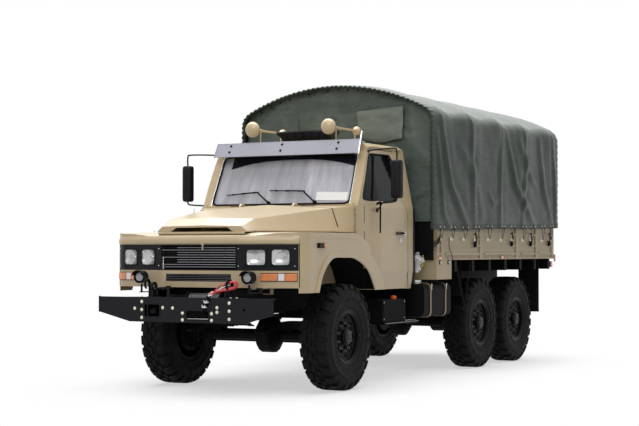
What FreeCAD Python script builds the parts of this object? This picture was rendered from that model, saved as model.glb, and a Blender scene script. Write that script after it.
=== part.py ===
"""A six-wheel military cargo truck with a bonneted cab, a dropside bed and a tarpaulin hood on bows.

Millimetres. X is the truck's left, Y runs from front to rear and Z is up. The parts are drawn with
Y = 0 at the front axle and the ground at Z = 0, and are moved at the end so that the origin is under
the truck's middle.
"""
import FreeCAD, Part
import math
import os

V = FreeCAD.Vector

# ---- driving dimensions ------------------------------------------------------------------------
SHEET = 5.0                # sheet metal of fenders and nose
SEAM = 8.0                 # gap round doors and hood
TOUCH = 0.3                # clearance between curved faces that meet

WHEELBASE = 3650.0         # front axle to first rear axle
BOGIE = 1250.0             # first to second rear axle
TRACK = 1930.0
TYRE_R = 555.0
TYRE_W = 320.0
LUG_DEPTH = 16.0
LUG_START = 0.25           # turns a lug's corner to the ground, in flats
LUG_SHARE = 0.5            # of a flat's length that a lug takes
WHEEL_SIDES = 15           # flats round a tyre and rim, with a lug on each
BEAD_R = 254.0             # bead seat of the wheel
FLANGE_R = 284.0
FLANGE_X = 141.0           # half width over the wheel's flanges
RIM_WALL = 12.0
HUB_R = 88.0
HUB_OUT = 148.0            # hub cap beyond the wheel's middle plane
DISH_R = 205.0             # where the wheel's disc bends to its dish
DRUM_OUT_R = 200.0         # brake drums
SPINDLE_R = 60.0

KINGPIN_X = 770.0
ARM_BACK = 300.0           # steering arm's pin behind the kingpin
ARM_DROP = 75.0            # steering arm's pin below the hub
ARM_HALF = 20.0
TIE_PIN_R = 9.0

RAIL_X = 430.0             # outer face of the frame rails
RAIL_LOW, RAIL_TOP = 820.0, 1060.0
RAIL_FLANGE = 85.0
RAIL_T = 9.0
RAIL_FRONT, RAIL_REAR = -1240.0, 5960.0
CROSSMEMBERS = (-1050.0, 1560.0, 2850.0, 4275.0, 5300.0, 5900.0)
SHAFT_R = 34.0
BELL_END, GEARBOX_END, TRANSFER_FRONT, TRANSFER_REAR = 760.0, 1180.0, 1700.0, 2050.0
SHAFT_Z = 850.0            # shaft from gearbox to transfer case

BUMPER_Y = -1420.0         # front face
BUMPER_T = 9.0
BUMPER_HALF = 1020.0
BUMPER_TOP, BUMPER_END_LOW, BUMPER_MID_LOW = 984.0, 832.0, 738.0
BUMPER_DEPTH = 130.0
BUMPER_LIP = 40.0

NOSE_Y = -1150.0
NOSE_LOW, NOSE_TOP = 1080.0, 1600.0
BAND_LOW, BAND_TOP = 1250.0, 1512.0
NOSE_CORNER_R = 190.0
BODY_HALF = 1120.0         # half width over the fenders
FENDER_TOP = 1632.0
FENDER_LOW = 1030.0
FENDER_INNER = 520.0
TOE_T = 20.0               # thickness of the cab floor where it rises over the wheels
TOE_X = FENDER_INNER - 8.0 - TOE_T         # inner face of the toe boards
LIP = 55.0
LIP_OUT = 14.0

HOOD_FRONT, HOOD_KNEE, HOOD_REAR = -1092.0, -900.0, 250.0
HOOD_T = 22.0

CAB_FRONT, CAB_REAR = 420.0, 1745.0
CAB_LOW, CAB_WAIST = 1022.0, 1925.0
CAB_HALF = 1072.0
GUTTER_X, GUTTER_Z = 930.0, 2583.0
ROOF_TOP = 2690.0
CAB_WALL = 40.0
GLASS_T = 6.0
SCREEN_BASE = (490.0, 1935.0)
SCREEN_HEAD = (768.0, 2540.0)
CAB_FLOOR = 1090.0
CAB_FLOOR_T = 30.0
STEP_X = 440.0              # the floor sits on the frame inside this, and drops beside it outside
DOOR_OPEN_DEG = 62.0

PIN_GAP = 0.3              # radial clearance of hinge pins and kingpins
KINGPIN_R = 16.0

BED_FRONT, BED_REAR = 2000.0, 5990.0
BED_HALF = 1235.0
BED_LOW, BED_FLOOR, BED_TOP = 1340.0, 1385.0, 1900.0
SIDE_T = 42.0
POST_W = 92.0
POSTS = (2170.0, 3360.0, 4605.0, 5340.0)
TAILGATE_T = 40.0

COVER_T = 14.0
COVER_FRONT, COVER_WALL, COVER_REAR = 1815.0, 1925.0, 6110.0
COVER_HALF = 1272.0
COVER_HEM = 1715.0
COVER_TOP = 3404.0
COVER_SHOULDER = 2940.0
BOW_R = 17.0
BOWS = (2060.0, 2980.0, 3900.0, 4820.0, 5740.0)


# ---- shape helpers ---------------------------------------------------------------------------------
def block(x0, x1, y0, y1, z0, z1):
    return Part.makeBox(x1 - x0, y1 - y0, z1 - z0, V(x0, y0, z0))


def rod(start, end, radius):
    a, b = V(*start), V(*end)
    return Part.makeCylinder(radius, (b - a).Length, a, b - a)


def place(axis, along, u, v):
    """A point from its place along an axis and its two coordinates in the plane across it."""
    return {"X": V(along, u, v), "Y": V(u, along, v), "Z": V(u, v, along)}[axis]


def outline(points, axis, along):
    """A closed wire through (u, v) points; (u, v, um, vm) is reached by an arc through (um, vm)."""
    edges = []
    for a, b in zip(points, points[1:] + points[:1]):
        start, end = place(axis, along, a[0], a[1]), place(axis, along, b[0], b[1])
        if len(b) == 4:
            edges.append(Part.Arc(start, place(axis, along, b[2], b[3]), end).toShape())
        else:
            edges.append(Part.LineSegment(start, end).toShape())
    return Part.Wire(edges)


def prism(points, axis, low, high):
    direction = {"X": V(1, 0, 0), "Y": V(0, 1, 0), "Z": V(0, 0, 1)}[axis]
    return Part.Face(outline(points, axis, low)).extrude(direction * (high - low))


def faceted(rings, wrap=False):
    """A solid with flat faces from each ring of points to the next, and end caps unless it wraps."""
    pairs = list(zip(rings, rings[1:] + rings[:1] if wrap else rings[1:]))
    loops = [[low[i - 1], low[i], high[i], high[i - 1]] for low, high in pairs for i in range(len(low))]
    if not wrap:
        loops += [rings[0], rings[-1]]
    faces = []
    for loop in loops:
        corners = [c for i, c in enumerate(loop) if (c - loop[i - 1]).Length > 1e-6]
        if len(corners) > 2:
            faces.append(Part.Face(Part.makePolygon(corners + corners[:1])))
    shell = Part.makeShell(faces)
    shell.sewShape()
    solid = Part.makeSolid(shell)
    return solid if solid.Volume > 0 else solid.reversed()


def corner(axis, along, radius, angle):
    return place(axis, along, radius * math.cos(angle), radius * math.sin(angle))


def turned(profile, axis, centre, sides, start=0.5):
    """An (along, radius) profile turned round an axis through centre, with that many flat sides."""
    turns = [2 * math.pi * (i + start) / sides for i in range(sides)]
    rings = [[corner(axis, along, radius, t) for t in turns] for along, radius in profile]
    closed = profile[0][1] > 0 and profile[-1][1] > 0 and len(profile) > 3
    shape = faceted(rings, wrap=closed)
    shape.translate(V(*centre))
    return shape


def bar(start, end, radius, sides=8):
    """A straight many-sided bar."""
    return tube([start, end], radius, sides)


def bore(start, end, radius, sides=8):
    """A many-sided cutter whose flats stand radius away from its axis."""
    return bar(start, end, radius / math.cos(math.pi / sides), sides)


def pins(spans, radius):
    """The pins of one hinge: the first is round, the others have twelve flats to keep the mesh light."""
    return [rod(*spans[0], radius)] + [bar(start, end, radius, 12) for start, end in spans[1:]]


def tube(points, radius, sides=6):
    """A many-sided bar through the points, mitred at its bends."""
    path = [V(*p) for p in points]
    ways = [(b - a).normalize() for a, b in zip(path, path[1:])]
    side = ways[0].cross(V(0, 0, 1) if abs(ways[0].z) < 0.9 else V(0, 1, 0)).normalize()
    rings = []
    for i, point in enumerate(path):
        before, after = ways[max(i - 1, 0)], ways[min(i, len(ways) - 1)]
        plane = (before + after).normalize()
        if i == 0:
            up = before.cross(side)
            spokes = [2 * math.pi * (k + 0.5) / sides for k in range(sides)]
            rings.append([point + (side * math.cos(t) + up * math.sin(t)) * radius for t in spokes])
            continue
        ring = []
        for q in rings[-1]:
            reach = (point - q).dot(plane) / before.dot(plane)
            ring.append(q + before * reach)
        rings.append(ring)
    return faceted(rings)


def flip(shape):
    return shape.mirror(V(0, 0, 0), V(1, 0, 0))


def both(shape):
    return Part.Compound([shape, flip(shape)])


def joined(*shapes):
    result = shapes[0].fuse(list(shapes[1:])) if len(shapes) > 1 else shapes[0]
    return result.removeSplitter()


def loft(wires):
    return Part.makeLoft(wires, True, True)


def mirrored_outline(half):
    """The whole outline from its +X half, listed from the bottom up to the middle of the top."""
    left = [(-x, z) for x, z in reversed(half) if x > 0]
    return list(half) + left


# ---- chassis ----------------------------------------------------------------------------------------
def chassis_frame():
    profile = [(RAIL_X, RAIL_LOW), (RAIL_X, RAIL_TOP), (RAIL_X - RAIL_FLANGE, RAIL_TOP),
               (RAIL_X - RAIL_FLANGE, RAIL_TOP - RAIL_T), (RAIL_X - RAIL_T, RAIL_TOP - RAIL_T),
               (RAIL_X - RAIL_T, RAIL_LOW + RAIL_T), (RAIL_X - RAIL_FLANGE, RAIL_LOW + RAIL_T),
               (RAIL_X - RAIL_FLANGE, RAIL_LOW)]
    rail = prism(profile, "Y", RAIL_FRONT, RAIL_REAR)
    inner = RAIL_X - RAIL_T
    members = []
    for y in CROSSMEMBERS:
        tall = block(-inner, inner, y, y + RAIL_T, RAIL_LOW + RAIL_T, RAIL_TOP - RAIL_T)
        foot = block(-inner, inner, y, y + 60, RAIL_LOW + RAIL_T, RAIL_LOW + 2 * RAIL_T)
        members += [tall, foot]
    way = bar((0, GEARBOX_END, SHAFT_Z), (0, TRANSFER_FRONT, SHAFT_Z), SHAFT_R + 18)
    return joined(rail, flip(rail), *members).cut(way)


BUMPER_HOLES = (            # x, x, z, z: a window for a hook, and the winch wire's way out
    (-458.0, -283.0, 794.0, 912.0),
    (38.0, 297.0, 772.0, 855.0),
)
FLANGE_MID, FLANGE_KNEE = 640.0, 720.0     # the top flange is deep inside these, and a lip outside
TONGUE = (-395.0, -350.0, 24.0)            # x, x and height of the bar that ties bumper and winch
TOW_EYE = (430.0, -1300.0, 1086.0)
TOW_EYE_R, TOW_T = 27.0, 26.0
TOW_EYE_RIM = 24.0


def front_bumper():
    low = [(-BUMPER_HALF, BUMPER_END_LOW), (-640.0, BUMPER_MID_LOW), (700.0, BUMPER_MID_LOW),
           (BUMPER_HALF, BUMPER_END_LOW)]
    face = low + [(BUMPER_HALF, BUMPER_TOP), (-BUMPER_HALF, BUMPER_TOP)]
    plate = prism(face, "Y", BUMPER_Y, BUMPER_Y + BUMPER_T)
    y0, y1 = BUMPER_Y - 1, BUMPER_Y + BUMPER_T + 1
    return plate.cut([block(x0, x1, y0, y1, z0, z1) for x0, x1, z0, z1 in BUMPER_HOLES])


def tow_eye():
    """The left tow eye, standing on the bumper's top flange."""
    x, y, z = TOW_EYE
    half = TOW_T / 2
    eye = bar((x - half, y, z), (x + half, y, z), TOW_EYE_R + TOW_EYE_RIM, 16)
    stem = block(x - half, x + half, y - 34, y + 30, BUMPER_TOP, z)
    plinth = block(x - TOW_T, x + TOW_T, y - 50, y + 34, BUMPER_TOP, BUMPER_TOP + 6)
    hole = rod((x - TOW_T, y, z), (x + TOW_T, y, z), TOW_EYE_R)
    return joined(eye, stem, plinth).cut(hole)


def bumper_frame():
    """What stands behind the bumper's plate, part against part: flanges, gussets, tongue, tow eyes."""
    front, back = BUMPER_Y + BUMPER_T, BUMPER_Y + BUMPER_DEPTH
    lip, under = front + BUMPER_LIP, BUMPER_TOP - BUMPER_T
    plan = [(-FLANGE_KNEE, front), (FLANGE_KNEE, front), (FLANGE_KNEE, lip), (FLANGE_MID, back),
            (-FLANGE_MID, back), (-FLANGE_KNEE, lip)]
    flange = prism(plan, "Z", under, BUMPER_TOP)
    end = block(FLANGE_KNEE, BUMPER_HALF, front, lip, under, BUMPER_TOP)
    foot = block(-FLANGE_MID, 700, front, back, BUMPER_MID_LOW, BUMPER_MID_LOW + BUMPER_T)
    rear = RAIL_FRONT + 160
    side = [(front, under), (rear, under), (rear, RAIL_LOW + 30), (front, BUMPER_MID_LOW + BUMPER_T)]
    gusset = prism(side, "X", RAIL_X, RAIL_X + BUMPER_T)
    x0, x1, height = TONGUE
    low = RAIL_LOW + RAIL_T
    tongue = block(x0, x1, front, RAIL_FRONT + 70, low, low + height)
    pairs = [end, gusset, tow_eye()]
    return Part.Compound([flange, foot, tongue] + pairs + [flip(p) for p in pairs])


WINCH_Y, WINCH_Z = -1175.0, 930.0
DRUM_R, DRUM_FLANGE_R = 84.0, 105.0
WINCH_TOP = 1000.0


def winch():
    ends = ((-74.0, -60.0), (300.0, 314.0))
    parts = [bar((ends[0][1], WINCH_Y, WINCH_Z), (ends[1][0], WINCH_Y, WINCH_Z), DRUM_R, 16)]
    parts += [bar((x0, WINCH_Y, WINCH_Z), (x1, WINCH_Y, WINCH_Z), DRUM_FLANGE_R, 16) for x0, x1 in ends]
    parts.append(block(-240, ends[0][0], WINCH_Y - 80, WINCH_Y + 105, RAIL_LOW, WINCH_TOP))
    parts.append(block(ends[1][1], 340, WINCH_Y - 60, WINCH_Y + 90, RAIL_LOW, WINCH_TOP))
    parts.append(block(-RAIL_X, RAIL_X, RAIL_FRONT, WINCH_Y + 105, RAIL_LOW - 12, RAIL_LOW))
    return joined(*parts)


HOOK_R = 12.0
WIRE_R = 6.0


def winch_hook():
    """The winch's wire over the bumper's edge, ending in a hook through the left tow eye."""
    over = BUMPER_Y - 16
    end = (318, over + 30, BUMPER_TOP + 36)
    wire = tube([(215, BUMPER_Y + 60, 832), (226, over, 850), (284, over, BUMPER_TOP + 8), end], WIRE_R)
    x, y, z = TOW_EYE
    drop = (TOW_EYE_R - HOOK_R - TOUCH) / math.sqrt(2)
    hook = tube([end, (362, y - 62, z - 34), (394, y - drop, z - drop), (x + 26, y - drop, z - drop),
                 (x + 42, y - 36, z), (x + 22, y - 76, z - 10)], HOOK_R)
    clamps = [block(x, x + 24, over - 12, over + 10, z0, z0 + 18) for x, z0 in ((238, 888), (262, 934))]
    knot = turned([(-14, 0), (-14, HOOK_R + 3), (14, HOOK_R + 3), (14, 0)], "X", end, 8)
    return joined(wire, hook, knot, *clamps)


# ---- axles and wheels --------------------------------------------------------------------------------
WHEELS = {
    "front_left": (1, 0.0),
    "front_right": (-1, 0.0),
    "mid_left": (1, WHEELBASE),
    "mid_right": (-1, WHEELBASE),
    "rear_left": (1, WHEELBASE + BOGIE),
    "rear_right": (-1, WHEELBASE + BOGIE),
}


def tyre_lugs(side, start):
    """One half's lugs round a tyre, each on its own flat of the carcass and a little past the shoulder."""
    step = 2 * math.pi / WHEEL_SIDES
    half, low = TYRE_W / 2, TYRE_R - LUG_DEPTH - 14
    lugs = []
    for i in range(WHEEL_SIDES):
        turns = [step * (i + start), step * (i + start + LUG_SHARE)]
        foot = [corner("X", side * 4, low, t) for t in turns]
        top = [corner("X", side * 4, TYRE_R, t) for t in reversed(turns)]
        inner = foot + top
        reach = [half - 3, half - 3, half - 22, half - 22]
        lugs.append(faceted([inner, [c + V(side * r, 0, 0) for c, r in zip(inner, reach)]]))
    return lugs


def tyre():
    """A tyre round the X axis: a carcass with flat sectors and two staggered rows of lugs."""
    half, bead = TYRE_W / 2, FLANGE_X - RIM_WALL - TOUCH
    seat, shoulder = BEAD_R + TOUCH, TYRE_R - LUG_DEPTH
    right = [(bead, seat), (bead, FLANGE_R + 6), (half, 420.0), (half - 26, shoulder)]
    flat = LUG_START - 0.04
    carcass = turned(right + [(-x, r) for x, r in reversed(right)], "X", (0, 0, 0), WHEEL_SIDES, flat)
    return joined(carcass, *(tyre_lugs(1, LUG_START) + tyre_lugs(-1, flat + 0.96 - LUG_SHARE)))


def rim():
    """A wheel round the X axis, with its disc and hub towards +X."""
    edge, inner = FLANGE_X, BEAD_R - RIM_WALL
    well = [(-edge, inner), (edge, inner), (edge, FLANGE_R), (edge - RIM_WALL, FLANGE_R),
            (edge - RIM_WALL, BEAD_R), (-edge + RIM_WALL, BEAD_R), (-edge + RIM_WALL, FLANGE_R),
            (-edge, FLANGE_R)]
    disc = [(40, 0.0), (40, DISH_R), (14, inner + 2), (30, inner + 2), (70, DISH_R), (70, HUB_R),
            (HUB_OUT - 16, HUB_R), (HUB_OUT, HUB_R - 22), (HUB_OUT, 0.0)]
    turn = LUG_START - 0.04
    return joined(*[turned(profile, "X", (0, 0, 0), WHEEL_SIDES, turn) for profile in (well, disc)])


def on_wheel(shape, side, y):
    """A copy of a wheel's piece at one of the truck's wheels."""
    copy = shape.copy() if side > 0 else flip(shape)
    copy.translate(V(side * TRACK / 2, y, TYRE_R))
    return copy


PINION_OUT, PINION_R = 250.0, 56.0


def axle_bulge(x, y):
    """The banjo of a drive axle: a lens-shaped housing with a nose for the pinion."""
    profile = [(-150, 0), (-150, 75), (-70, 185), (70, 185), (150, 75), (150, 0)]
    body = turned(profile, "X", (x, y, TYRE_R), 16)
    pinion = bar((x, y, TYRE_R), (x, y + PINION_OUT, TYRE_R), PINION_R, 12)
    return joined(body, pinion)


FRONT_DIFF_X = 170.0
AXLE_R = 62.0
YOKE_Z = 120.0             # half the fork's opening
YOKE_SWEEP = 60.0          # room for the fork's ends inside the steered drum


def front_axle():
    end = KINGPIN_X - 130
    beam = bar((-end, 0, TYRE_R), (end, 0, TYRE_R), AXLE_R, 12)
    shape = joined(beam, axle_bulge(FRONT_DIFF_X, 0))
    for side in (1, -1):
        x0, x1 = sorted((side * (end - 40), side * (KINGPIN_X + 34)))
        top = block(x0, x1, -38, 38, TYRE_R + YOKE_Z, TYRE_R + YOKE_Z + 32)
        low = block(x0, x1, -38, 38, TYRE_R - YOKE_Z - 32, TYRE_R - YOKE_Z)
        w0, w1 = sorted((side * (end - 40), side * end))
        web = block(w0, w1, -60, 60, TYRE_R - YOKE_Z - 32, TYRE_R + YOKE_Z + 32)
        x = side * KINGPIN_X
        pin = rod((x, 0, TYRE_R - YOKE_Z - 32), (x, 0, TYRE_R + YOKE_Z + 32), KINGPIN_R)
        shape = shape.fuse([top, low, web, pin])
    return shape.removeSplitter()


def knuckle(side):
    x = side * KINGPIN_X
    post = bar((x, 0, TYRE_R - YOKE_Z + 5), (x, 0, TYRE_R + YOKE_Z - 5), 40, 12)
    hub_in = side * (KINGPIN_X + 50)
    neck = bar((x, 0, TYRE_R), (hub_in + side * 5, 0, TYRE_R), 60, 12)
    drum_out = side * (TRACK / 2 + 8)
    spindle = rod((drum_out, 0, TYRE_R), (side * (TRACK / 2 + 40 - TOUCH), 0, TYRE_R), SPINDLE_R)
    drum = bar((hub_in, 0, TYRE_R), (drum_out, 0, TYRE_R), DRUM_OUT_R, 16)
    drum = drum.cut([bar((x, 0, TYRE_R + YOKE_Z - 8), (x, 0, TYRE_R + 250), YOKE_SWEEP, 12),
                     bar((x, 0, TYRE_R - 250), (x, 0, TYRE_R - YOKE_Z + 8), YOKE_SWEEP, 12)])
    pin_z = TYRE_R - ARM_DROP
    arm = block(x - ARM_HALF, x + ARM_HALF, -20, ARM_BACK + 20, pin_z + 10, pin_z + 34)
    stud = rod((x, ARM_BACK, pin_z - 20), (x, ARM_BACK, pin_z + 12), TIE_PIN_R)
    hole = bore((x, 0, 0), (x, 0, 2 * TYRE_R), KINGPIN_R + PIN_GAP)
    return joined(post, neck, drum, spindle, arm, stud).cut(hole)


def tie_rod():
    """The track rod between the two steering arms' pins."""
    z = TYRE_R - ARM_DROP
    bored, holes = [], []
    for x in (-KINGPIN_X, KINGPIN_X):
        bored.append(bar((x, ARM_BACK, z - 18), (x, ARM_BACK, z + 4), 22, 8))
        holes.append(bore((x, ARM_BACK, z - 30), (x, ARM_BACK, z + 20), TIE_PIN_R + PIN_GAP))
    reach = KINGPIN_X - 16
    rung = bar((-reach, ARM_BACK, z - 7), (reach, ARM_BACK, z - 7), 15, 8)
    return joined(rung, *bored).cut(holes)


def rear_axles():
    shapes = []
    for y in (WHEELBASE, WHEELBASE + BOGIE):
        stop = TRACK / 2 + 40 - TOUCH
        beam = bar((-stop + 60, y, TYRE_R), (stop - 60, y, TYRE_R), AXLE_R, 12)
        parts = [beam, axle_bulge(0, y).mirror(V(0, y, 0), V(0, 1, 0))]
        for side in (1, -1):
            a, b = side * (KINGPIN_X + 40), side * (TRACK / 2 + 8)
            parts.append(bar((a, y, TYRE_R), (b, y, TYRE_R), DRUM_OUT_R, 16))
            parts.append(rod((b, y, TYRE_R), (side * stop, y, TYRE_R), SPINDLE_R))
        shapes.append(joined(*parts))
    return Part.Compound(shapes)


SPRING_X, SPRING_W = 432.0, 76.0
LEAF_T = 13.0
FRONT_LEAVES, REAR_LEAVES = 6, 7
REAR_SEAT = 652.0          # top of the lowest rear leaf at its middle
CHAIR_TOP = 623.1          # the rear axles' seats, under that leaf's ends


def leaf(y0, z0, ym, zm, y1, z1, thick, x):
    """One curved leaf through three (y, z) points of its upper face."""
    edges = []
    a, b, c, d = V(x, y0, z0 - thick), V(x, y0, z0), V(x, y1, z1), V(x, y1, z1 - thick)
    edges.append(Part.LineSegment(a, b).toShape())
    edges.append(Part.Arc(b, V(x, ym, zm), c).toShape())
    edges.append(Part.LineSegment(c, d).toShape())
    edges.append(Part.Arc(d, V(x, ym, zm - thick), a).toShape())
    return Part.Face(Part.Wire(edges)).extrude(V(SPRING_W, 0, 0))


def leaf_pack(mid, seat, reach, arch, leaves, x, upward):
    """Curved leaves, each shorter than the last, stacked from the long one, whose top is at seat."""
    shapes = []
    for i in range(leaves):
        share = 1 - 0.82 * i / leaves
        step = -i if upward else i
        z = seat + step * LEAF_T
        end = z - (arch if not upward else -arch) * share ** 2
        shapes.append(leaf(mid - reach * share, end, mid, z, mid + reach * share, end, LEAF_T + 0.5, x))
    return shapes


def leaf_springs():
    """Packs of leaves: upright ones over the front axle, and one across each side's two rear axles."""
    x = SPRING_X - SPRING_W / 2
    seat = TYRE_R + AXLE_R
    front_top = seat + LEAF_T * FRONT_LEAVES + 12
    front = leaf_pack(0.0, front_top, 640.0, -90.0, FRONT_LEAVES, x, True)
    end_z = front_top + 90.0
    pad = block(x, x + SPRING_W, -70, 70, TYRE_R + AXLE_R - 20, seat + 14)
    pad = pad.cut(bar((x - 5, 0, TYRE_R), (x + SPRING_W + 5, 0, TYRE_R), AXLE_R + TOUCH, 12))
    shackles = [block(x, x + SPRING_W, y, y + 50, end_z - 40, RAIL_LOW) for y in (-640.0, 590.0)]
    front_set = joined(pad, *(front + shackles))
    mid = WHEELBASE + BOGIE / 2
    rear_x = RAIL_X + 12
    reach = BOGIE / 2 + 70
    rear = leaf_pack(mid, REAR_SEAT, reach, 16.0, REAR_LEAVES, rear_x, False)
    post_top = REAR_SEAT + LEAF_T * REAR_LEAVES + 14
    post = block(RAIL_X, rear_x + SPRING_W, mid - 90, mid + 90, 590, post_top)
    hanger = block(RAIL_X, RAIL_X + 12, mid - 160, mid + 160, 700, RAIL_TOP - 40)
    seats = []
    for y in (WHEELBASE, WHEELBASE + BOGIE):
        chair = block(rear_x, rear_x + SPRING_W, y - 50, y + 50, TYRE_R + 30, CHAIR_TOP)
        beam_way = bar((rear_x - 5, y, TYRE_R), (rear_x + SPRING_W + 5, y, TYRE_R), AXLE_R + TOUCH, 12)
        seats.append(chair.cut(beam_way))
    beam = bar((-RAIL_X, mid, REAR_SEAT), (RAIL_X, mid, REAR_SEAT), 45, 12)
    rear_set = joined(post, hanger, *rear)
    rear_both = joined(rear_set, flip(rear_set), beam)
    return Part.Compound([front_set, flip(front_set), rear_both] + seats + [flip(s) for s in seats])


YOKE_R, YOKE_L = 46.0, 45.0    # coupling flange at each axle's pinion


def driveline():
    gearbox = block(-150, 150, BELL_END, GEARBOX_END, 700, 1030)
    transfer = block(-190, 230, TRANSFER_FRONT, TRANSFER_REAR, 620, 1000)
    x, near = FRONT_DIFF_X, PINION_OUT + TOUCH
    parts = [gearbox, transfer, bar((0, GEARBOX_END, SHAFT_Z), (0, TRANSFER_FRONT, SHAFT_Z), SHAFT_R)]
    parts.append(bar((x, near, TYRE_R), (x, near + YOKE_L, TYRE_R), YOKE_R))
    parts.append(bar((x, near + YOKE_L - 5, TYRE_R), (x, TRANSFER_FRONT, 690), SHAFT_R - 4))
    far = WHEELBASE - PINION_OUT - TOUCH
    parts.append(bar((0, far - YOKE_L, TYRE_R), (0, far, TYRE_R), YOKE_R))
    parts.append(bar((0, TRANSFER_REAR, 740), (0, far - YOKE_L + 5, TYRE_R), SHAFT_R))
    link_a, link_b = WHEELBASE + 190 + TOUCH, WHEELBASE + BOGIE - PINION_OUT - TOUCH
    through = bar((0, link_a, TYRE_R), (0, link_b, TYRE_R), SHAFT_R)
    return Part.Compound([joined(*parts), through])


# ---- bonnet, nose and fenders ------------------------------------------------------------------------
def nose_plan(inset):
    """Plan of the nose and fenders as far back as the cab, drawn in by inset."""
    half, front, r = BODY_HALF - inset, NOSE_Y + inset, NOSE_CORNER_R - inset
    mid = BODY_HALF - NOSE_CORNER_R
    knee = front + 108
    turn = math.radians(38)
    arc_mid = (mid + r * math.sin(turn), knee + r - r * math.cos(turn))
    left = [(mid, knee), (half, knee + r, arc_mid[0], arc_mid[1])]
    right = [(-half, knee + r), (-mid, knee, -arc_mid[0], arc_mid[1])]
    return [(-440.0, front), (440.0, front)] + left + [(half, 1000.0), (-half, 1000.0)] + right


NOSE_REAR = -985.0          # seam between nose panel and fenders
NOSE_RIB_X = 767.0          # upright behind the lamps that ties the nose's top to its floor
LOW_SLOT = (385.0, 1140.0, 1215.0)         # half width, low and top of the slot under the grille


def header_profile(drop):
    """Side view of the nose's sloping top, from the lamp band up to the fenders."""
    d = drop
    return [(NOSE_Y + d, BAND_TOP), (NOSE_Y + d, BAND_TOP + 10), (NOSE_Y + 45, NOSE_TOP - d),
            (NOSE_Y + 88, NOSE_TOP + 20 - d), (NOSE_REAR, FENDER_TOP - d)]


def nose_panel():
    plan = prism(nose_plan(0), "Z", NOSE_LOW, FENDER_TOP)
    skin = plan.cut(prism(nose_plan(SHEET), "Z", NOSE_LOW - 1, FENDER_TOP + 1))
    reach = block(-1200, 1200, NOSE_Y - 50, NOSE_REAR, NOSE_LOW, FENDER_TOP)
    low = [(NOSE_Y - 1, NOSE_LOW), (NOSE_REAR, NOSE_LOW)]
    under = prism(low + [(NOSE_REAR, FENDER_TOP)] + header_profile(0)[::-1][1:] + [(NOSE_Y - 1, BAND_TOP)],
                  "X", -1300, 1300)
    header = prism(header_profile(0) + header_profile(SHEET)[::-1], "X", -1300, 1300).common(plan)
    band = block(-1300, 1300, NOSE_Y - 20, NOSE_REAR + 1, BAND_LOW, BAND_TOP)
    slot = block(-LOW_SLOT[0], LOW_SLOT[0], NOSE_Y - 20, NOSE_Y + 60, LOW_SLOT[1], LOW_SLOT[2])
    shell = skin.common(reach).common(under).cut([band, slot])
    floor = block(-900, 900, NOSE_Y + 20, NOSE_REAR, NOSE_LOW, NOSE_LOW + SHEET).common(plan)
    ribs = [block(x - 3, x + 3, NOSE_Y + 112, NOSE_REAR, NOSE_LOW, FENDER_TOP).common(under)
            for x in (-NOSE_RIB_X, NOSE_RIB_X)]
    return joined(shell, header, floor, *ribs)


def grille():
    band_gap = TOUCH
    outer = prism(nose_plan(4), "Z", BAND_LOW + band_gap, BAND_TOP - band_gap)
    inner = prism(nose_plan(30), "Z", BAND_LOW, BAND_TOP)
    front = block(-1200, 1200, NOSE_Y - 50, NOSE_REAR - 2, BAND_LOW, BAND_TOP)
    band = outer.cut(inner).common(front)
    opening = block(-GRILLE_HALF, GRILLE_HALF, NOSE_Y - 20, NOSE_Y + 80, BAND_LOW + 14, BAND_TOP - 14)
    lamp_cuts = []
    for side in (1, -1):
        for low, high in LAMP_SPANS:
            x0, x1 = sorted((side * low, side * high))
            lamp_cuts.append(block(x0 - TOUCH, x1 + TOUCH, NOSE_Y - 20, NOSE_Y + 200,
                                   LAMP_LOW - TOUCH, LAMP_TOP + TOUCH))
    band = band.cut([opening] + lamp_cuts)
    bars = []
    half = GRILLE_HALF + 4
    for i in range(GRILLE_BARS):
        z = BAND_LOW + 34 + i * (BAND_TOP - BAND_LOW - 68) / (GRILLE_BARS - 1)
        thick = 7 if i % 3 else 10
        bars.append(block(-half, half, NOSE_Y + 8, NOSE_Y + 26, z - thick / 2, z + thick / 2))
    return joined(band, *bars)


LAMP_SPANS = ((533.0, 748.0), (787.0, 992.0))
LAMP_LOW, LAMP_TOP = 1300.0, 1466.0
GRILLE_BARS = 9
GRILLE_HALF = 442.0        # half width of the grille's opening
SIGNAL_X, SIGNAL_Z = (705.0, 1160.0), (1146.0, 1228.0)
REPEATER_Y, REPEATER_Z = (-700.0, -560.0), (1478.0, 1522.0)


def headlamps():
    lamps = []
    band = prism(nose_plan(8), "Z", LAMP_LOW, LAMP_TOP).cut(prism(nose_plan(70), "Z", LAMP_LOW, LAMP_TOP))
    for side in (1, -1):
        for low, high in LAMP_SPANS:
            x0, x1 = sorted((side * low, side * high))
            lamps.append(block(x0, x1, NOSE_Y - 10, NOSE_REAR - 5, LAMP_LOW, LAMP_TOP).common(band))
    return Part.Compound(lamps)


def indicators():
    lamps = []
    solid = prism(nose_plan(-22), "Z", *SIGNAL_Z)
    skin = prism(nose_plan(-TOUCH), "Z", *SIGNAL_Z)
    piece = block(*SIGNAL_X, NOSE_Y - 60, NOSE_REAR - 4, *SIGNAL_Z).common(solid.cut(skin))
    side = block(BODY_HALF + TOUCH, BODY_HALF + 32, *REPEATER_Y, *REPEATER_Z)
    for shape in (piece, side):
        lamps += [shape, flip(shape)]
    return Part.Compound(lamps)


FOG_LAMP = (635.0, -1232.0, 1184.0)
FOG_R = 62.0


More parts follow.
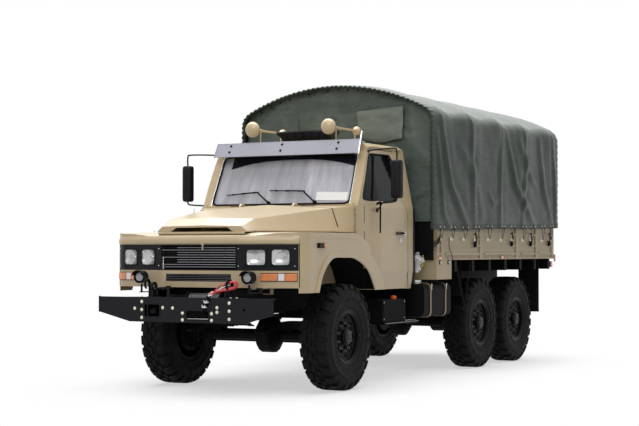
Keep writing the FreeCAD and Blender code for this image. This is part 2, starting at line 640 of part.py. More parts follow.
def fog_lamps():
    lamps = []
    for side in (1, -1):
        x, y, z = side * FOG_LAMP[0], FOG_LAMP[1], FOG_LAMP[2]
        cup = bar((x, y - 28, z), (x, y + 48, z), FOG_R, 16)
        hollow = bar((x, y - 80, z), (x, y - 19, z), FOG_R - 1, 16)
        visor = bar((x, y - 75, z), (x, y - 20, z), FOG_R + 6, 16).cut(hollow)
        visor = visor.cut(block(x - 90, x + 90, y - 90, y, z - 90, z + 14))
        stalk = bar((x, y + 14, z - 55), (x, y + 14, NOSE_LOW - 46), 11, 8)
        foot = block(x - 20, x + 20, y, NOSE_Y + 160, NOSE_LOW - 56, NOSE_LOW - 46)
        riser = block(x - 20, x + 20, NOSE_Y + 100, NOSE_Y + 160, NOSE_LOW - 46, NOSE_LOW)
        lamps.append(joined(cup, visor, stalk, foot, riser))
    return Part.Compound(lamps)


def engine():
    """The engine as one plain block, with what touches it: sump, bell, mounts, fan and radiator."""
    half, front, rear, low = 300.0, -560.0, 330.0, 980.0
    body = block(-half, half, front, rear, low, 1500)
    sump = block(-180, 180, front + 60, rear, 780, low)
    bell = block(-150, 150, rear, BELL_END, 800, 1030)
    radiator = block(-410, 410, NOSE_Y + 190, NOSE_Y + 270, RAIL_TOP, 1570)
    blades = [(front - 140, 0), (front - 140, 60), (front - 130, 60), (front - 130, 240),
              (front - 100, 240), (front - 100, 60), (front, 60), (front, 0)]
    fan = turned(blades, "Y", (0, 0, 1280), 16)
    mounts = [block(half, RAIL_X - 20, y, y + 70, RAIL_TOP, RAIL_TOP + 40) for y in (-480.0, rear - 80)]
    return Part.Compound([body, sump, bell, radiator, fan] + mounts + [flip(m) for m in mounts])


def fender_outline(grow):
    """Side view of the fender, (y, z), grown by grow: its top, and the tail before the door."""
    g = grow
    return [(-1200.0, FENDER_LOW), (-1200.0, FENDER_TOP + g), (110.0, FENDER_TOP + g),
            (640.0 + 0.8 * g, 1372.0 + 0.7 * g, 390.0 + 0.5 * g, 1550.0 + 0.9 * g),
            (884.0 + g, CAB_LOW, 790.0 + 0.9 * g, 1212.0 + 0.4 * g), (800.0, 900.0)]


def arch_outline(grow):
    g = grow
    return [(-690.0 - g, 850.0), (-690.0 - g, 1035.0),
            (-400.0 - 0.3 * g, 1370.0 + g, -600.0 - 0.7 * g, 1215.0 + 0.7 * g),
            (120.0 + 0.3 * g, 1370.0 + g, -140.0, 1384.0 + g),
            (600.0 + g, 1035.0, 420.0 + 0.7 * g, 1250.0 + 0.7 * g), (600.0 + g, 850.0)]


SWEEP_STEPS = 6
SWEEP_PAST = 10.0          # room for the door's thickness outside its hinge line


def door_sweep(gap):
    """The space that the left door's lower front edge passes through as it opens."""
    x, y = DOOR_HINGE
    start = 1506.0
    g = gap
    points = [(y, FENDER_TOP + 200), (y, start), (545.0 + g, 1452.0), (640.0 + g, 1370.0),
              (725.0 + g, 1290.0), (810.0 + g, 1175.0), (884.0 + g, CAB_LOW), (884.0 + g, 880.0),
              (2000.0, 880.0), (2000.0, FENDER_TOP + 200)]
    rings = []
    step = math.radians(DOOR_OPEN_DEG + SWEEP_PAST) / SWEEP_STEPS
    far = 1 / math.cos(step / 2)
    for i in range(SWEEP_STEPS + 1):
        over, along = far * math.sin(step * i), far * math.cos(step * i)
        rings.append([V(x + (q - y) * over, y + (q - y) * along, z) for q, z in points])
    return faceted(rings)


def front_fenders():
    plan_out = prism(nose_plan(0), "Z", 900, 1700)
    plan_in = prism(nose_plan(SHEET), "Z", 850, 1700)
    side_out = prism(fender_outline(0), "X", FENDER_INNER, 1300)
    side_in = prism(fender_outline(-SHEET), "X", FENDER_INNER - 1, 1300)
    reach = block(FENDER_INNER, 1300, NOSE_REAR, 1000, FENDER_LOW, FENDER_TOP + 1)
    body = plan_out.common(side_out).common(reach)
    inside = block(FENDER_INNER - 2, 1300, NOSE_REAR - 1, 1000, 850, FENDER_TOP + 1)
    hollow = plan_in.common(side_in).common(inside)
    sweep = door_sweep(2.0)
    body = body.cut([hollow, prism(arch_outline(0), "X", 900, 1300)])
    inner_sweep = door_sweep(2.0 - SHEET)
    tail = plan_out.common(side_out).common(reach).common(inner_sweep).cut(sweep)
    tail = tail.common(block(DOOR_HINGE[0] - 30, 1300, DOOR_HINGE[1] - 200, 1000, FENDER_LOW, 1520))
    body = joined(body.cut(sweep), tail)
    apron = block(FENDER_INNER, FENDER_INNER + SHEET, NOSE_REAR, 400, RAIL_TOP, FENDER_TOP - SHEET)
    apron = apron.common(side_out)
    lip = prism(arch_outline(LIP), "X", BODY_HALF - 1, BODY_HALF + LIP_OUT)
    lip = lip.cut(prism(arch_outline(0), "X", BODY_HALF - 10, BODY_HALF + LIP_OUT + 1))
    lip = lip.common(side_out).common(block(900, 1300, -1000, 1000, FENDER_LOW, 1700)).cut(sweep)
    ledge = block(FENDER_INNER - 60, FENDER_INNER + 2, NOSE_REAR, 180, FENDER_TOP - SHEET, FENDER_TOP)
    knee = block(FENDER_INNER - 4, FENDER_INNER + 2, -600, -540, RAIL_TOP - 60, RAIL_TOP + 40)
    bracket = block(RAIL_X, FENDER_INNER + 2, -600, -540, RAIL_TOP - 60, RAIL_TOP - 50)
    return both(joined(body, apron, lip, ledge, bracket, knee))


def hood_section(half_low, z_low, half_side, z_side, z_mid, shrink):
    s = shrink
    return mirrored_outline([(half_low - s, z_low - (1 if s else 0)), (half_low - s, z_low + 12),
                             (half_side - s, z_side - 0.6 * s), (0.0, z_mid - s)])


HOOD_SECTIONS = (
    # y, half width low, z low, half width at crease, z at crease, z in the middle
    (HOOD_FRONT, 527.0, 1634.0, 470.0, 1694.0, 1704.0),
    (HOOD_KNEE, 590.0, 1642.0, 500.0, 1768.0, 1786.0),
    (HOOD_REAR, 872.0, 1648.0, 785.0, 1902.0, 1945.0),
)


def hood_loft(shrink, sections):
    wires = []
    for y, low, z_low, side, z_side, z_mid in sections:
        wires.append(outline(hood_section(low, z_low, side, z_side, z_mid, shrink), "Y", y))
    return loft(wires)


HOOD_AXIS = (HOOD_REAR + 4.0, 1952.0)
HOOD_HINGES = (-330.0, 330.0)
HINGE_PIN_R = 6.0


def hood_hinge_pins():
    """A pin on a plate standing on the hood's rear edge, at each hinge."""
    y, z = HOOD_AXIS
    parts = pins([((x - 26, y, z), (x + 26, y, z)) for x in HOOD_HINGES], HINGE_PIN_R)
    for x in HOOD_HINGES:
        parts.append(prism([(y - 44, z - 34), (y - 44, z - 20), (y - 4, z + 8), (y + 6, z + 4),
                            (y + 6, z - 6), (y - 8, z - 14), (y - 8, z - 34)], "X", x - 9, x + 9))
    return parts


def hood_hinge_ears():
    """Two ears on the cowl round each of the hood's pins."""
    y, z = HOOD_AXIS
    ears = []
    for x in HOOD_HINGES:
        for x0 in (x - 24, x + 14):
            ears.append(prism([(y + 46, z - 34), (y + 46, z - 20), (y + 8, z + 11), (y - 9, z + 9),
                               (y - 9, z - 9), (y + 7, z - 16), (y + 7, z - 34)], "X", x0, x0 + 10))
    return ears


def hood():
    outer = hood_loft(0, HOOD_SECTIONS)
    deep = [(y + (40 if y == HOOD_FRONT else 0),) + tuple(rest) for y, *rest in HOOD_SECTIONS]
    inner = hood_loft(HOOD_T, deep)
    drop = inner.copy()
    drop.translate(V(0, 0, -HOOD_T))
    shell = outer.cut([inner, drop])
    mouth = prism([(-374, 1596), (374, 1596), (374, 1636), (305, 1682), (-305, 1682), (-374, 1636)], "Y",
                  HOOD_FRONT - 10, HOOD_FRONT + 60)
    return joined(shell.cut(mouth), *hood_hinge_pins())


# ---- cab ---------------------------------------------------------------------------------------------
CAB_LEVELS = (
    # z, half widths at the front corner, behind it, at the door's middle and at the rear, corner radius
    (CAB_LOW - 10.0, 868.0, 934.0, 1012.0, 1040.0, 62.0),
    (CAB_LOW + 200.0, 900.0, 968.0, 1045.0, 1072.0, 62.0),
    (CAB_WAIST, 900.0, 968.0, 1045.0, 1072.0, 62.0),
    (GUTTER_Z, 880.0, 928.0, 934.0, 938.0, 48.0),
    (ROOF_TOP + 20.0, 830.0, 880.0, 886.0, 890.0, 48.0),
)


def cab_level(level, inset):
    z, corner, front, middle, rear, round_r = level
    i = inset
    back = CAB_REAR - i
    half = [(corner - i, CAB_FRONT + i), (front - i, CAB_FRONT + 32), (middle - i, 900.0), (rear - i, 1450.0),
            (rear - i, back - round_r)]
    near, far = 0.134 * round_r, 0.5 * round_r
    half += [(rear - i - near, back - far), (rear - i - far, back - near), (rear - i - round_r, back)]
    return outline(half + [(-x, y) for x, y in reversed(half)], "Z", z)


def cab_side(inset):
    i = inset
    slope = (SCREEN_HEAD[0] - SCREEN_BASE[0]) / (SCREEN_HEAD[1] - SCREEN_BASE[1])
    back = i * math.sqrt(1 + slope ** 2)
    return [(CAB_FRONT + i, CAB_LOW + i), (CAB_FRONT + i, SCREEN_BASE[1] - i),
            (SCREEN_BASE[0] + back - slope * i, SCREEN_BASE[1] - i), (SCREEN_HEAD[0] + back, SCREEN_HEAD[1]),
            (SCREEN_HEAD[0] + back, GUTTER_Z + 30 - i), (900.0, ROOF_TOP - 40 - i),
            (1100.0, ROOF_TOP + 2 - i), (1600.0, ROOF_TOP + 2 - i), (1700.0, ROOF_TOP - 40 - i),
            (CAB_REAR - i, GUTTER_Z - i),
            (CAB_REAR - i, CAB_LOW + i)]


def cab_solid(inset):
    body = loft([cab_level(level, inset) for level in CAB_LEVELS])
    i = inset
    roof = mirrored_outline([(1300.0, CAB_LOW - 50), (1300.0, GUTTER_Z - i), (GUTTER_X, GUTTER_Z + 6 - i),
                             (GUTTER_X - 60, GUTTER_Z + 46 - i), (500.0, ROOF_TOP - 14 - i),
                             (0.0, ROOF_TOP - i)])
    return body.common(prism(cab_side(inset), "X", -1300, 1300)).common(prism(roof, "Y", 0, 2000))


DOOR_FRONT, DOOR_REAR = 452.0, 1552.0
DOOR_TOP = 2556.0
DOOR_HINGE = (974.0, 446.0)


def screen_y(z):
    """The windscreen plane's y at height z."""
    share = (z - SCREEN_BASE[1]) / (SCREEN_HEAD[1] - SCREEN_BASE[1])
    return SCREEN_BASE[0] + share * (SCREEN_HEAD[0] - SCREEN_BASE[0])


def door_outline(grow):
    """Side view of the door: (y, z), grown outwards by grow."""
    g = grow
    behind = 16.0 - g
    return [(DOOR_FRONT - g, CAB_WAIST + 14), (DOOR_FRONT - g, 1480.0), (DOOR_FRONT + 150 - g, 1300.0),
            (DOOR_FRONT + 250 - g, CAB_LOW + 4 - g), (DOOR_REAR + g, CAB_LOW + 4 - g),
            (DOOR_REAR + g, 1760.0),
            (DOOR_REAR - 148 + g, 2020.0, DOOR_REAR - 40 + g, 1905.0), (DOOR_REAR - 148 + g, DOOR_TOP + g),
            (screen_y(DOOR_TOP) + behind + 14, DOOR_TOP + g), (screen_y(2510.0) + behind, 2510.0),
            (screen_y(1960.0) + behind, 1960.0)]


PILLAR_LOW, PILLAR_TOP = 918.0, 868.0      # inner limit of the door at the waist and at its top


def door_space(grow):
    """The door's outline through the cab's side, inwards only as far as the front pillar."""
    cut = prism(door_outline(grow), "X", 800, 1300)
    keep = prism([(PILLAR_LOW - grow, CAB_LOW - 100), (PILLAR_LOW - grow, CAB_WAIST + 20),
                  (PILLAR_TOP - grow, DOOR_TOP + 60), (1300.0, DOOR_TOP + 60), (1300.0, CAB_LOW - 100)],
                 "Y", 300, 2000)
    return cut.common(keep)


def window_outline(grow):
    g = grow
    front = 52.0 - g
    return [(screen_y(2080.0) + front, 2080.0), (screen_y(2455.0) + front, 2455.0), (815.0, 2505.0 + g),
            (1310.0, 2512.0 + g), (1352.0 + g, 2460.0), (1352.0 + g, 2130.0), (1310.0 + g, 2010.0 - g),
            (1120.0, 1985.0 - g), (700.0, 1992.0 - g), (screen_y(2000.0) + front + 12, 2004.0 - g)]


def side_ring(low, high):
    """The cab's skin between two depths."""
    return cab_solid(low).cut(cab_solid(high))


def screen_outline(grow):
    g = grow
    low = SCREEN_BASE[1] + 24 - g
    return mirrored_outline([(860.0 + g, low), (835.0 + g, 2500.0 + g), (0.0, 2512.0 + g)])


REAR_WINDOW = (520.0, 1960.0, 2380.0)      # half width, low, high


def cowl():
    front = mirrored_outline([(872.0, 1648.0), (785.0, 1902.0), (0.0, 1945.0)])
    back = mirrored_outline([(962.0, 1648.0), (955.0, SCREEN_BASE[1] - 12), (0.0, 1945.0)])
    front_y = HOOD_REAR + SEAM
    return loft([outline(front, "Y", front_y), outline(back, "Y", CAB_FRONT + 20)])


def toe_board():
    """Where the cab's floor rises over the left front wheel."""
    space = cab_solid(0).common(block(-1200, 1200, 300, 1200, CAB_LOW, 1640))
    return prism(fender_outline(SEAM + TOE_T), "X", TOE_X, 1300).common(space)


def cab_openings():
    """Cutters for the wheel arches, doors, windscreen, rear window and the frame under the floor."""
    wheelhouse = prism(fender_outline(SEAM), "X", FENDER_INNER - SEAM, 1300)
    space = door_space(SEAM)
    under = block(-STEP_X, STEP_X, 300, 1800, CAB_LOW - 20, RAIL_TOP)
    screen = prism(screen_outline(0), "Y", 300, 860)
    half, low, high = REAR_WINDOW
    rear = block(-half, half, CAB_REAR - 200, CAB_REAR + 10, low, high)
    return [wheelhouse, flip(wheelhouse), space, flip(space), under, screen, rear]


CAB_CUTS = (                # z, z and the x where the shell's layer between them is cut in three
    (900.0, CAB_FLOOR, STEP_X),
    (CAB_FLOOR, 1640.0, TOE_X),
)


def in_parts(shell):
    """The shell cut into parts that stay in contact, so that each is near a plain plate."""
    parts = [shell.common(block(-1300, 1300, 0, 2000, CAB_CUTS[-1][1], 2800))]
    for z0, z1, x in CAB_CUTS:
        for x0, x1 in ((-1300, -x), (-x, x), (x, 1300)):
            parts.append(shell.common(block(x0, x1, 0, 2000, z0, z1)))
    return Part.Compound([solid for part in parts for solid in part.Solids])


def cab_shell():
    floor = cab_solid(0).common(block(-1200, 1200, 300, 1800, CAB_FLOOR - CAB_FLOOR_T, CAB_FLOOR))
    toe = toe_board()
    shell = joined(side_ring(0, CAB_WALL), floor, cowl(), toe, flip(toe)).cut(cab_openings())
    y, z = HOOD_AXIS
    holes = bore((-500, y, z), (500, y, z), HINGE_PIN_R + PIN_GAP)
    shell = shell.fuse(hood_hinge_ears()).cut(holes)
    pockets, pins = door_hinge_pins()
    for group in (pockets, [flip(p) for p in pockets]):
        shell = shell.cut(group)
    return in_parts(shell.fuse(pins + [flip(p) for p in pins]).removeSplitter())


def cab_glass():
    screen = side_ring(14, 14 + GLASS_T).common(prism(screen_outline(-TOUCH), "Y", 300, 860))
    half, low, high = REAR_WINDOW
    t = TOUCH
    rear = block(-half + t, half - t, CAB_REAR - 22, CAB_REAR - 22 + GLASS_T, low + t, high - t)
    return Part.Compound([screen, rear])


DOOR_HINGE_Z = (1690.0, 1870.0)
DOOR_BARREL_R, DOOR_PIN_R = 11.0, 5.0
HANDLE = (1270.0, 1430.0, 1628.0, 1652.0)


def door_hinge_pins():
    """Pockets for the left door's hinges, and the cab's pins between two lugs in them."""
    x, y = DOOR_HINGE
    pockets = []
    parts = pins([((x, y, z - 34), (x, y, z + 34)) for z in DOOR_HINGE_Z], DOOR_PIN_R)
    for z in DOOR_HINGE_Z:
        pockets.append(bar((x, y, z - 38), (x, y, z + 38), DOOR_BARREL_R + 8))
        for z0 in (z - 34, z + 24):
            parts.append(bar((x, y, z0), (x, y, z0 + 10), DOOR_BARREL_R))
            parts.append(block(x - 34, x, y - 20, y, z0, z0 + 10))
    return pockets, parts


def door_barrels():
    x, y = DOOR_HINGE
    parts = []
    for z in DOOR_HINGE_Z:
        parts.append(bar((x, y, z - 20), (x, y, z + 20), DOOR_BARREL_R))
        parts.append(block(x - 34, x, y, y + 30, z - 20, z + 20))
    return parts


def door(side):
    shape = side_ring(0, CAB_WALL + 4).common(door_space(0))
    shape = shape.cut(prism(window_outline(0), "X", 700, 1300))
    shape = shape.cut(prism(fender_outline(SEAM), "X", 700, 1300))
    y0, y1, z0, z1 = HANDLE
    handle = block(CAB_HALF + 6, CAB_HALF + 22, y0, y1, z0, z1)
    lugs = [block(CAB_HALF - 20, CAB_HALF + 8, y, y + 20, z0 + 2, z1 - 2) for y in (y0, y1 - 20)]
    x, y = DOOR_HINGE
    shape = shape.cut(door_hinge_pins()[0])
    shape = joined(shape, handle, *(lugs + door_barrels()))
    low, high = DOOR_HINGE_Z[0] - 50, DOOR_HINGE_Z[1] + 50
    shape = shape.cut(bore((x, y, low), (x, y, high), DOOR_PIN_R + PIN_GAP))
    return shape if side > 0 else flip(shape)


def door_glass(side):
    shape = side_ring(14, 14 + GLASS_T).common(prism(window_outline(-TOUCH), "X", 860, 1300))
    return shape if side > 0 else flip(shape)


MIRROR = (1215.0, 1343.0, 690.0, 745.0, 2040.0, 2416.0)


def mirror(side):
    x0, x1, y0, y1, z0, z1 = MIRROR
    head = block(x0, x1, y0, y1, z0, z1)
    mid_x = (x0 + x1) / 2
    upper = tube([(900, 800, 2530), (mid_x, 715, 2545), (mid_x, 715, z1 - 5)], 9)
    lower = tube([(980, 780, 1950), (mid_x, 715, 1975), (mid_x, 715, z0 + 5)], 9)
    shape = joined(head, upper, lower)
    skin = cab_solid(-TOUCH)
    shape = shape.cut(skin)
    return shape if side > 0 else flip(shape)


VISOR_LOW, VISOR_TOP, VISOR_HALF = (611.0, 2506.0), (701.0, 2660.0), 905.0


def sun_visor():
    a, b, half = VISOR_LOW, VISOR_TOP, VISOR_HALF
    plate = prism([a, b, (b[0] + 5, b[1] - 3), (a[0] + 5, a[1] - 3)], "X", -half, half)
    lip = block(-half, half, b[0], b[0] + 30, b[1] - 4, b[1])
    end = prism([a, b, (b[0] + 30, b[1] - 4), (a[0] + 22, a[1] - 2)], "X", half - 4, half)
    arms = []
    for x in (-870.0, -300.0, 300.0, 870.0):
        side = [(b[0], b[1] - 8), (b[0] + 4, b[1] - 4), (860, b[1] - 20), (860, b[1] - 34)]
        arm = prism(side, "X", x - 12, x + 12)
        foot = block(x - 12, x + 12, 780, 860, GUTTER_Z + 20, b[1] - 20)
        arms.append(joined(arm, foot).cut(cab_solid(0)))
    return joined(plate, lip, end, flip(end), *arms)


HORN_X, HORN_Z = 483.0, 2815.0


def air_horns():
    """Two trumpets with rounded bells, each on two legs."""
    horns = []
    bell = [(705, 0), (724, 40), (750, 85), (752, 85), (786, 26), (800, 14), (1386, 14), (1402, 44),
            (1446, 62), (1490, 44), (1508, 0)]
    for x in (-HORN_X, HORN_X):
        legs = [bar((x, y, HORN_Z), (x, y, 2600), 8) for y in (840.0, 1360.0)]
        horns.append(joined(turned(bell, "Y", (x, 0, HORN_Z), 12), *legs).cut(cab_solid(0)))
    return Part.Compound(horns)


def roof_hatch():
    base = block(-210, 424, 900, 1240, 2600, 2735)
    lid = block(-235, 449, 880, 1260, 2735, 2775)
    return joined(base, lid).cut(cab_solid(0))


def air_pipe():
    y = CAB_REAR + 34
    pipe_r = 26
    route = ((870, 2330), (905, 2290), (1030, 1900), (1030, 1180), (1010, 1120))
    run = tube([(x, y, z) for x, z in route], pipe_r, 10)
    clips = ((950, 2120), (1000, 1600), (1000, 1300))
    return joined(run, *[block(x - 12, x + 12, CAB_REAR, y, z - 12, z + 12) for x, z in clips])


def wipers():
    arms = []
    for x in (-150.0, 560.0):
        y, z = SCREEN_BASE[0] + 5, SCREEN_BASE[1] + 40
        arms.append(tube([(x, y - 20, z - 38), (x - 90, y - 8, z + 10), (x - 420, y + 10, z + 62)], 7))
    skin = cab_solid(-TOUCH)
    return Part.Compound([a.cut(skin) for a in arms])


# ---- inside the cab ----------------------------------------------------------------------------------
SEAT_HALF = 880.0
SEAT_LOW, SEAT_TOP = 1390.0, 1500.0
SEAT_FRONT, SEAT_REAR = 1000.0, 1480.0


def seats():
    half = SEAT_HALF
    cushion = block(-half, half, SEAT_FRONT, SEAT_REAR, SEAT_LOW, SEAT_TOP)
    base = block(-half + 40, half - 40, SEAT_FRONT + 40, SEAT_REAR - 40, CAB_FLOOR, SEAT_LOW)
    side = [(SEAT_REAR, SEAT_LOW), (SEAT_REAR, SEAT_TOP), (1590, 2050), (1680, 2050), (1620, SEAT_LOW)]
    back = prism(side, "X", -half, half)
    return joined(base, cushion, back)


STEERING_R, STEERING_SIDES = 220.0, 16


def steering_ring(hub, lean):
    """The steering wheel's rim round a hub, square in section, and the middles of its sides."""
    across = V(1, 0, 0)
    up = lean.cross(across)
    middles, rings = [], []
    for i in range(STEERING_SIDES):
        turn = 2 * math.pi * i / STEERING_SIDES
        out = across * math.cos(turn) + up * math.sin(turn)
        point = hub + out * STEERING_R
        middles.append(point)
        rings.append([point + out * 17, point + lean * 15, point - out * 17, point - lean * 15])
    return faceted(rings, wrap=True), middles


def dashboard():
    top = block(-900, 900, CAB_FRONT, 640, 1700, 1890)
    hub = V(430, 812, 1868)
    column = bar((430, 590, 1716), tuple(hub), 24, 8)
    ring, middles = steering_ring(hub, V(0, 0.824, 0.566).normalize())
    spokes = [bar(tuple(hub), tuple(middles[i]), 9, 6) for i in (0, 8, 12)]
    return joined(top, column, *spokes).common(cab_solid(CAB_WALL + TOUCH)).fuse(ring)


# ---- under the cab and bed ---------------------------------------------------------------------------
def rounded_box(x0, x1, low, top, cut):
    """Corner points (x, z) of a box with its corners taken off in two flats."""
    far = 0.3 * cut
    points = []
    for x, z, dx, dz in ((x0, low, 1, 1), (x1, low, -1, 1), (x1, top, -1, -1), (x0, top, 1, -1)):
        three = [(x, z + dz * cut), (x + dx * far, z + dz * far), (x + dx * cut, z)]
        points += three if dx == dz else three[::-1]
    return points


def fuel_tank():
    low, top, x0, x1 = 690.0, 1070.0, 560.0, 1150.0
    body = prism(rounded_box(x0, x1, low, top, 60), "Y", 1830, 2600)
    straps = []
    for y in (2000.0, 2430.0):
        straps.append(prism(rounded_box(x0 - 6, x1 + 6, low - 6, top + 6, 62), "Y", y, y + 40))
        straps.append(block(RAIL_X, x0 + 2, y, y + 40, 850, 1000))
    return joined(body, *straps)


def cab_steps():
    box_left = block(700, 1060, 924, 1509, 664, 908)
    hanger = block(RAIL_X, 700, 1000, 1440, 860, 900)
    plate = block(700, 1080, 1485, 1810, 628, 664)
    brace = block(700, 740, 1440, 1810, 664, 700)
    left = joined(box_left, hanger, plate, brace)
    return both(left)


def toolbox():
    boxes = []
    for side in (1, -1):
        x0, x1 = sorted((side * CROSSBEAMS[0][1], side * BED_HALF))
        boxes.append(block(x0, x1, 1985, 2422, 1117, BED_LOW))
    return Part.Compound(boxes)


MUDGUARDS = (               # y, y and the lower edge of the flaps before and behind the rear wheels
    (2960.0, 2966.0, 900.0),
    (5690.0, 5702.0, 620.0),
)


def mudguards():
    return both(Part.Compound([block(840, 1130, y0, y1, low, BED_LOW) for y0, y1, low in MUDGUARDS]))


HITCH_Z, HITCH_GAP, HITCH_T = 900.0, 64.0, 18.0
HITCH_PIN_R, HITCH_OUT = 16.0, 130.0


def tow_hitch():
    """A clevis on the rear crossmember, for a drawbar eye and a loose pin."""
    y0 = CROSSMEMBERS[-1] + RAIL_T
    high = HITCH_GAP / 2 + HITCH_T
    plate = block(-110, 110, y0, y0 + 14, HITCH_Z - 60, HITCH_Z + 100)
    jaw = block(-55, 55, y0, y0 + HITCH_OUT, HITCH_Z - high, HITCH_Z + high)
    mouth = block(-60, 60, y0 + 50, y0 + HITCH_OUT + 1, HITCH_Z - HITCH_GAP / 2, HITCH_Z + HITCH_GAP / 2)
    hole = rod((0, y0 + HITCH_OUT - 38, HITCH_Z - 90), (0, y0 + HITCH_OUT - 38, HITCH_Z + 90), HITCH_PIN_R)
    return joined(plate, jaw).cut([mouth, hole])


def rear_lamps():
    shapes = []
    beam_rear = CROSSBEAMS[-1][0] + BEAM_W
    for side in (1, -1):
        x0, x1 = sorted((side * 1010.0, side * 1200.0))
        b0, b1 = sorted((side * 1080.0, side * 1130.0))
        lamp = block(x0, x1, 5995, 6060, 1225, 1305)
        shapes.append(joined(lamp, block(b0, b1, beam_rear, 5996, 1250, 1290)))
    return Part.Compound(shapes)


# ---- bed ---------------------------------------------------------------------------------------------
TAILGATE_AXIS = (BED_REAR + 42.0, BED_LOW + 14.0)
TAILGATE_HINGES = (-900.0, -300.0, 300.0, 900.0)
TAILGATE_PIN_R = 7.0
BEAM_W = 70.0
BEAM_LOW = 1200.0
CROSSBEAMS = ((2040.0, 690.0),) + tuple((2585.0 + 545.0 * i, BED_HALF - 30) for i in range(7))
SIDE_RIBS = (               # z and height of the long pressings in the dropsides
    (1880.0, 20.0), (1640.0, 34.0), (1500.0, 22.0), (1395.0, 26.0), (1342.0, 22.0),
)


def cargo_floor():
    half = BED_HALF - SIDE_T - 2
    parts = [block(-half, half, BED_FRONT + 2, BED_REAR - 2, BED_LOW, BED_FLOOR)]
    for side in (1, -1):
        x0, x1 = sorted((side * (RAIL_X - 75), side * RAIL_X))
        parts.append(block(x0, x1, BED_FRONT + 40, BED_REAR - 40, RAIL_TOP, BEAM_LOW))
    parts += [block(-reach, reach, y, y + BEAM_W, BEAM_LOW, BED_LOW) for y, reach in CROSSBEAMS]
    y, z = TAILGATE_AXIS
    ears = [block(x - 18, x + 18, BED_REAR - 20, y + 15, z - 14, z + 15) for x in TAILGATE_HINGES]
    return joined(*(parts + ears)).cut(bore((-BED_HALF, y, z), (BED_HALF, y, z), TAILGATE_PIN_R + PIN_GAP))


def cargo_sides():
    outer, inner = BED_HALF, BED_HALF - SIDE_T
    panel = block(inner, outer - 16, BED_FRONT, BED_REAR, BED_LOW, BED_TOP)
    ribs = [block(outer - 18, outer - 4, BED_FRONT, BED_REAR, z, z + height) for z, height in SIDE_RIBS]
    spans = [(y - POST_W / 2, y + POST_W / 2) for y in POSTS]
    spans += [(BED_FRONT, BED_FRONT + 60), (BED_REAR - 60, BED_REAR)]
    posts = [block(outer - 18, outer, y0, y1, BED_LOW, BED_TOP) for y0, y1 in spans]
    left = joined(panel, *(ribs + posts))
    return both(left)


def headboard():
    inner = BED_HALF - SIDE_T - 1
    panel = block(-inner, inner, BED_FRONT - 40, BED_FRONT, BED_LOW, BED_TOP + 60)
    y0, y1 = BED_FRONT - 60, BED_FRONT - 38
    ribs = [block(x - 40, x + 40, y0, y1, BED_LOW, BED_TOP + 40) for x in (-800, 0, 800)]
    return joined(panel, *ribs)


def tailgate():
    inner = BED_HALF - 10
    y0 = BED_REAR + 10
    panel = block(-inner, inner, y0, y0 + TAILGATE_T, BED_LOW + 2, BED_TOP)
    ribs = [block(x - 45, x + 45, y0 + TAILGATE_T - 2, y0 + TAILGATE_T + 14, BED_LOW + 20, BED_TOP - 10)
            for x in (-1150, -400, 400, 1150)]
    back = y0 + TAILGATE_T
    rails = [block(-inner, inner, back - 2, back + 10, z, z + 24) for z in (1560, 1860)]
    y, z = TAILGATE_AXIS
    hinges = TAILGATE_HINGES
    notches = [block(x - 42, x + 42, y0 - 10, y0 + 100, BED_LOW - 10, z + 36) for x in hinges]
    joints = pins([((x - 44, y, z), (x + 44, y, z)) for x in hinges], TAILGATE_PIN_R)
    return joined(joined(panel, *(ribs + rails)).cut(notches), *joints)


def cover_outline(inset):
    """Cross-section of the tarpaulin hood, (x, z), drawn in by inset; any inset opens its hem."""
    i = inset
    half, top, shoulder = COVER_HALF - i, COVER_TOP - i, COVER_SHOULDER - 0.3 * i
    hem = COVER_HEM - (10 if i else 0)
    bend_x, bend_z, side_x = 1165 - 0.8 * i, 3120 - 0.8 * i, half - 25
    return [(-half, hem), (half, hem), (half, shoulder), (bend_x, bend_z, side_x, shoulder + 100),
            (-bend_x, bend_z, 0, top), (-half, shoulder, -side_x, shoulder + 100)]


def canopy_cover():
    shell = prism(cover_outline(0), "Y", COVER_FRONT, COVER_REAR)
    shell = shell.cut(prism(cover_outline(COVER_T), "Y", COVER_FRONT - 1, COVER_REAR + 1))
    section = prism(cover_outline(COVER_T - 1), "Y", COVER_WALL, COVER_WALL + COVER_T)
    front = section.common(block(-1400, 1400, 0, 7000, 1780, 3500))
    inner = BED_HALF - SIDE_T - 6
    back = prism(cover_outline(COVER_T - 1), "Y", BED_REAR - 26, BED_REAR - 12)
    back = back.common(block(-1400, 1400, 0, 7000, BED_TOP + 10, 3500))
    hem = block(-inner, inner, BED_REAR - 26, BED_REAR - 12, 1700, BED_TOP + 12)
    return joined(shell, front, back, hem)


BOW_X = BED_HALF - SIDE_T - BOW_R - TOUCH
BOW_BEND_Z = 2900.0
HOOP_FLATS = 12


def bow_posts():
    """The straight uprights of the bows, standing in the dropsides, with their clamps."""
    posts = []
    for y in BOWS:
        post = block(BOW_X - BOW_R, BOW_X + BOW_R, y - BOW_R, y + BOW_R, 1450, BOW_BEND_Z - BOW_R - TOUCH)
        clamp = block(BOW_X, BOW_X + BOW_R + TOUCH, y - 25, y + 25, 1450, 1560)
        post = joined(post, clamp)
        posts += [post, flip(post)]
    return Part.Compound(posts)


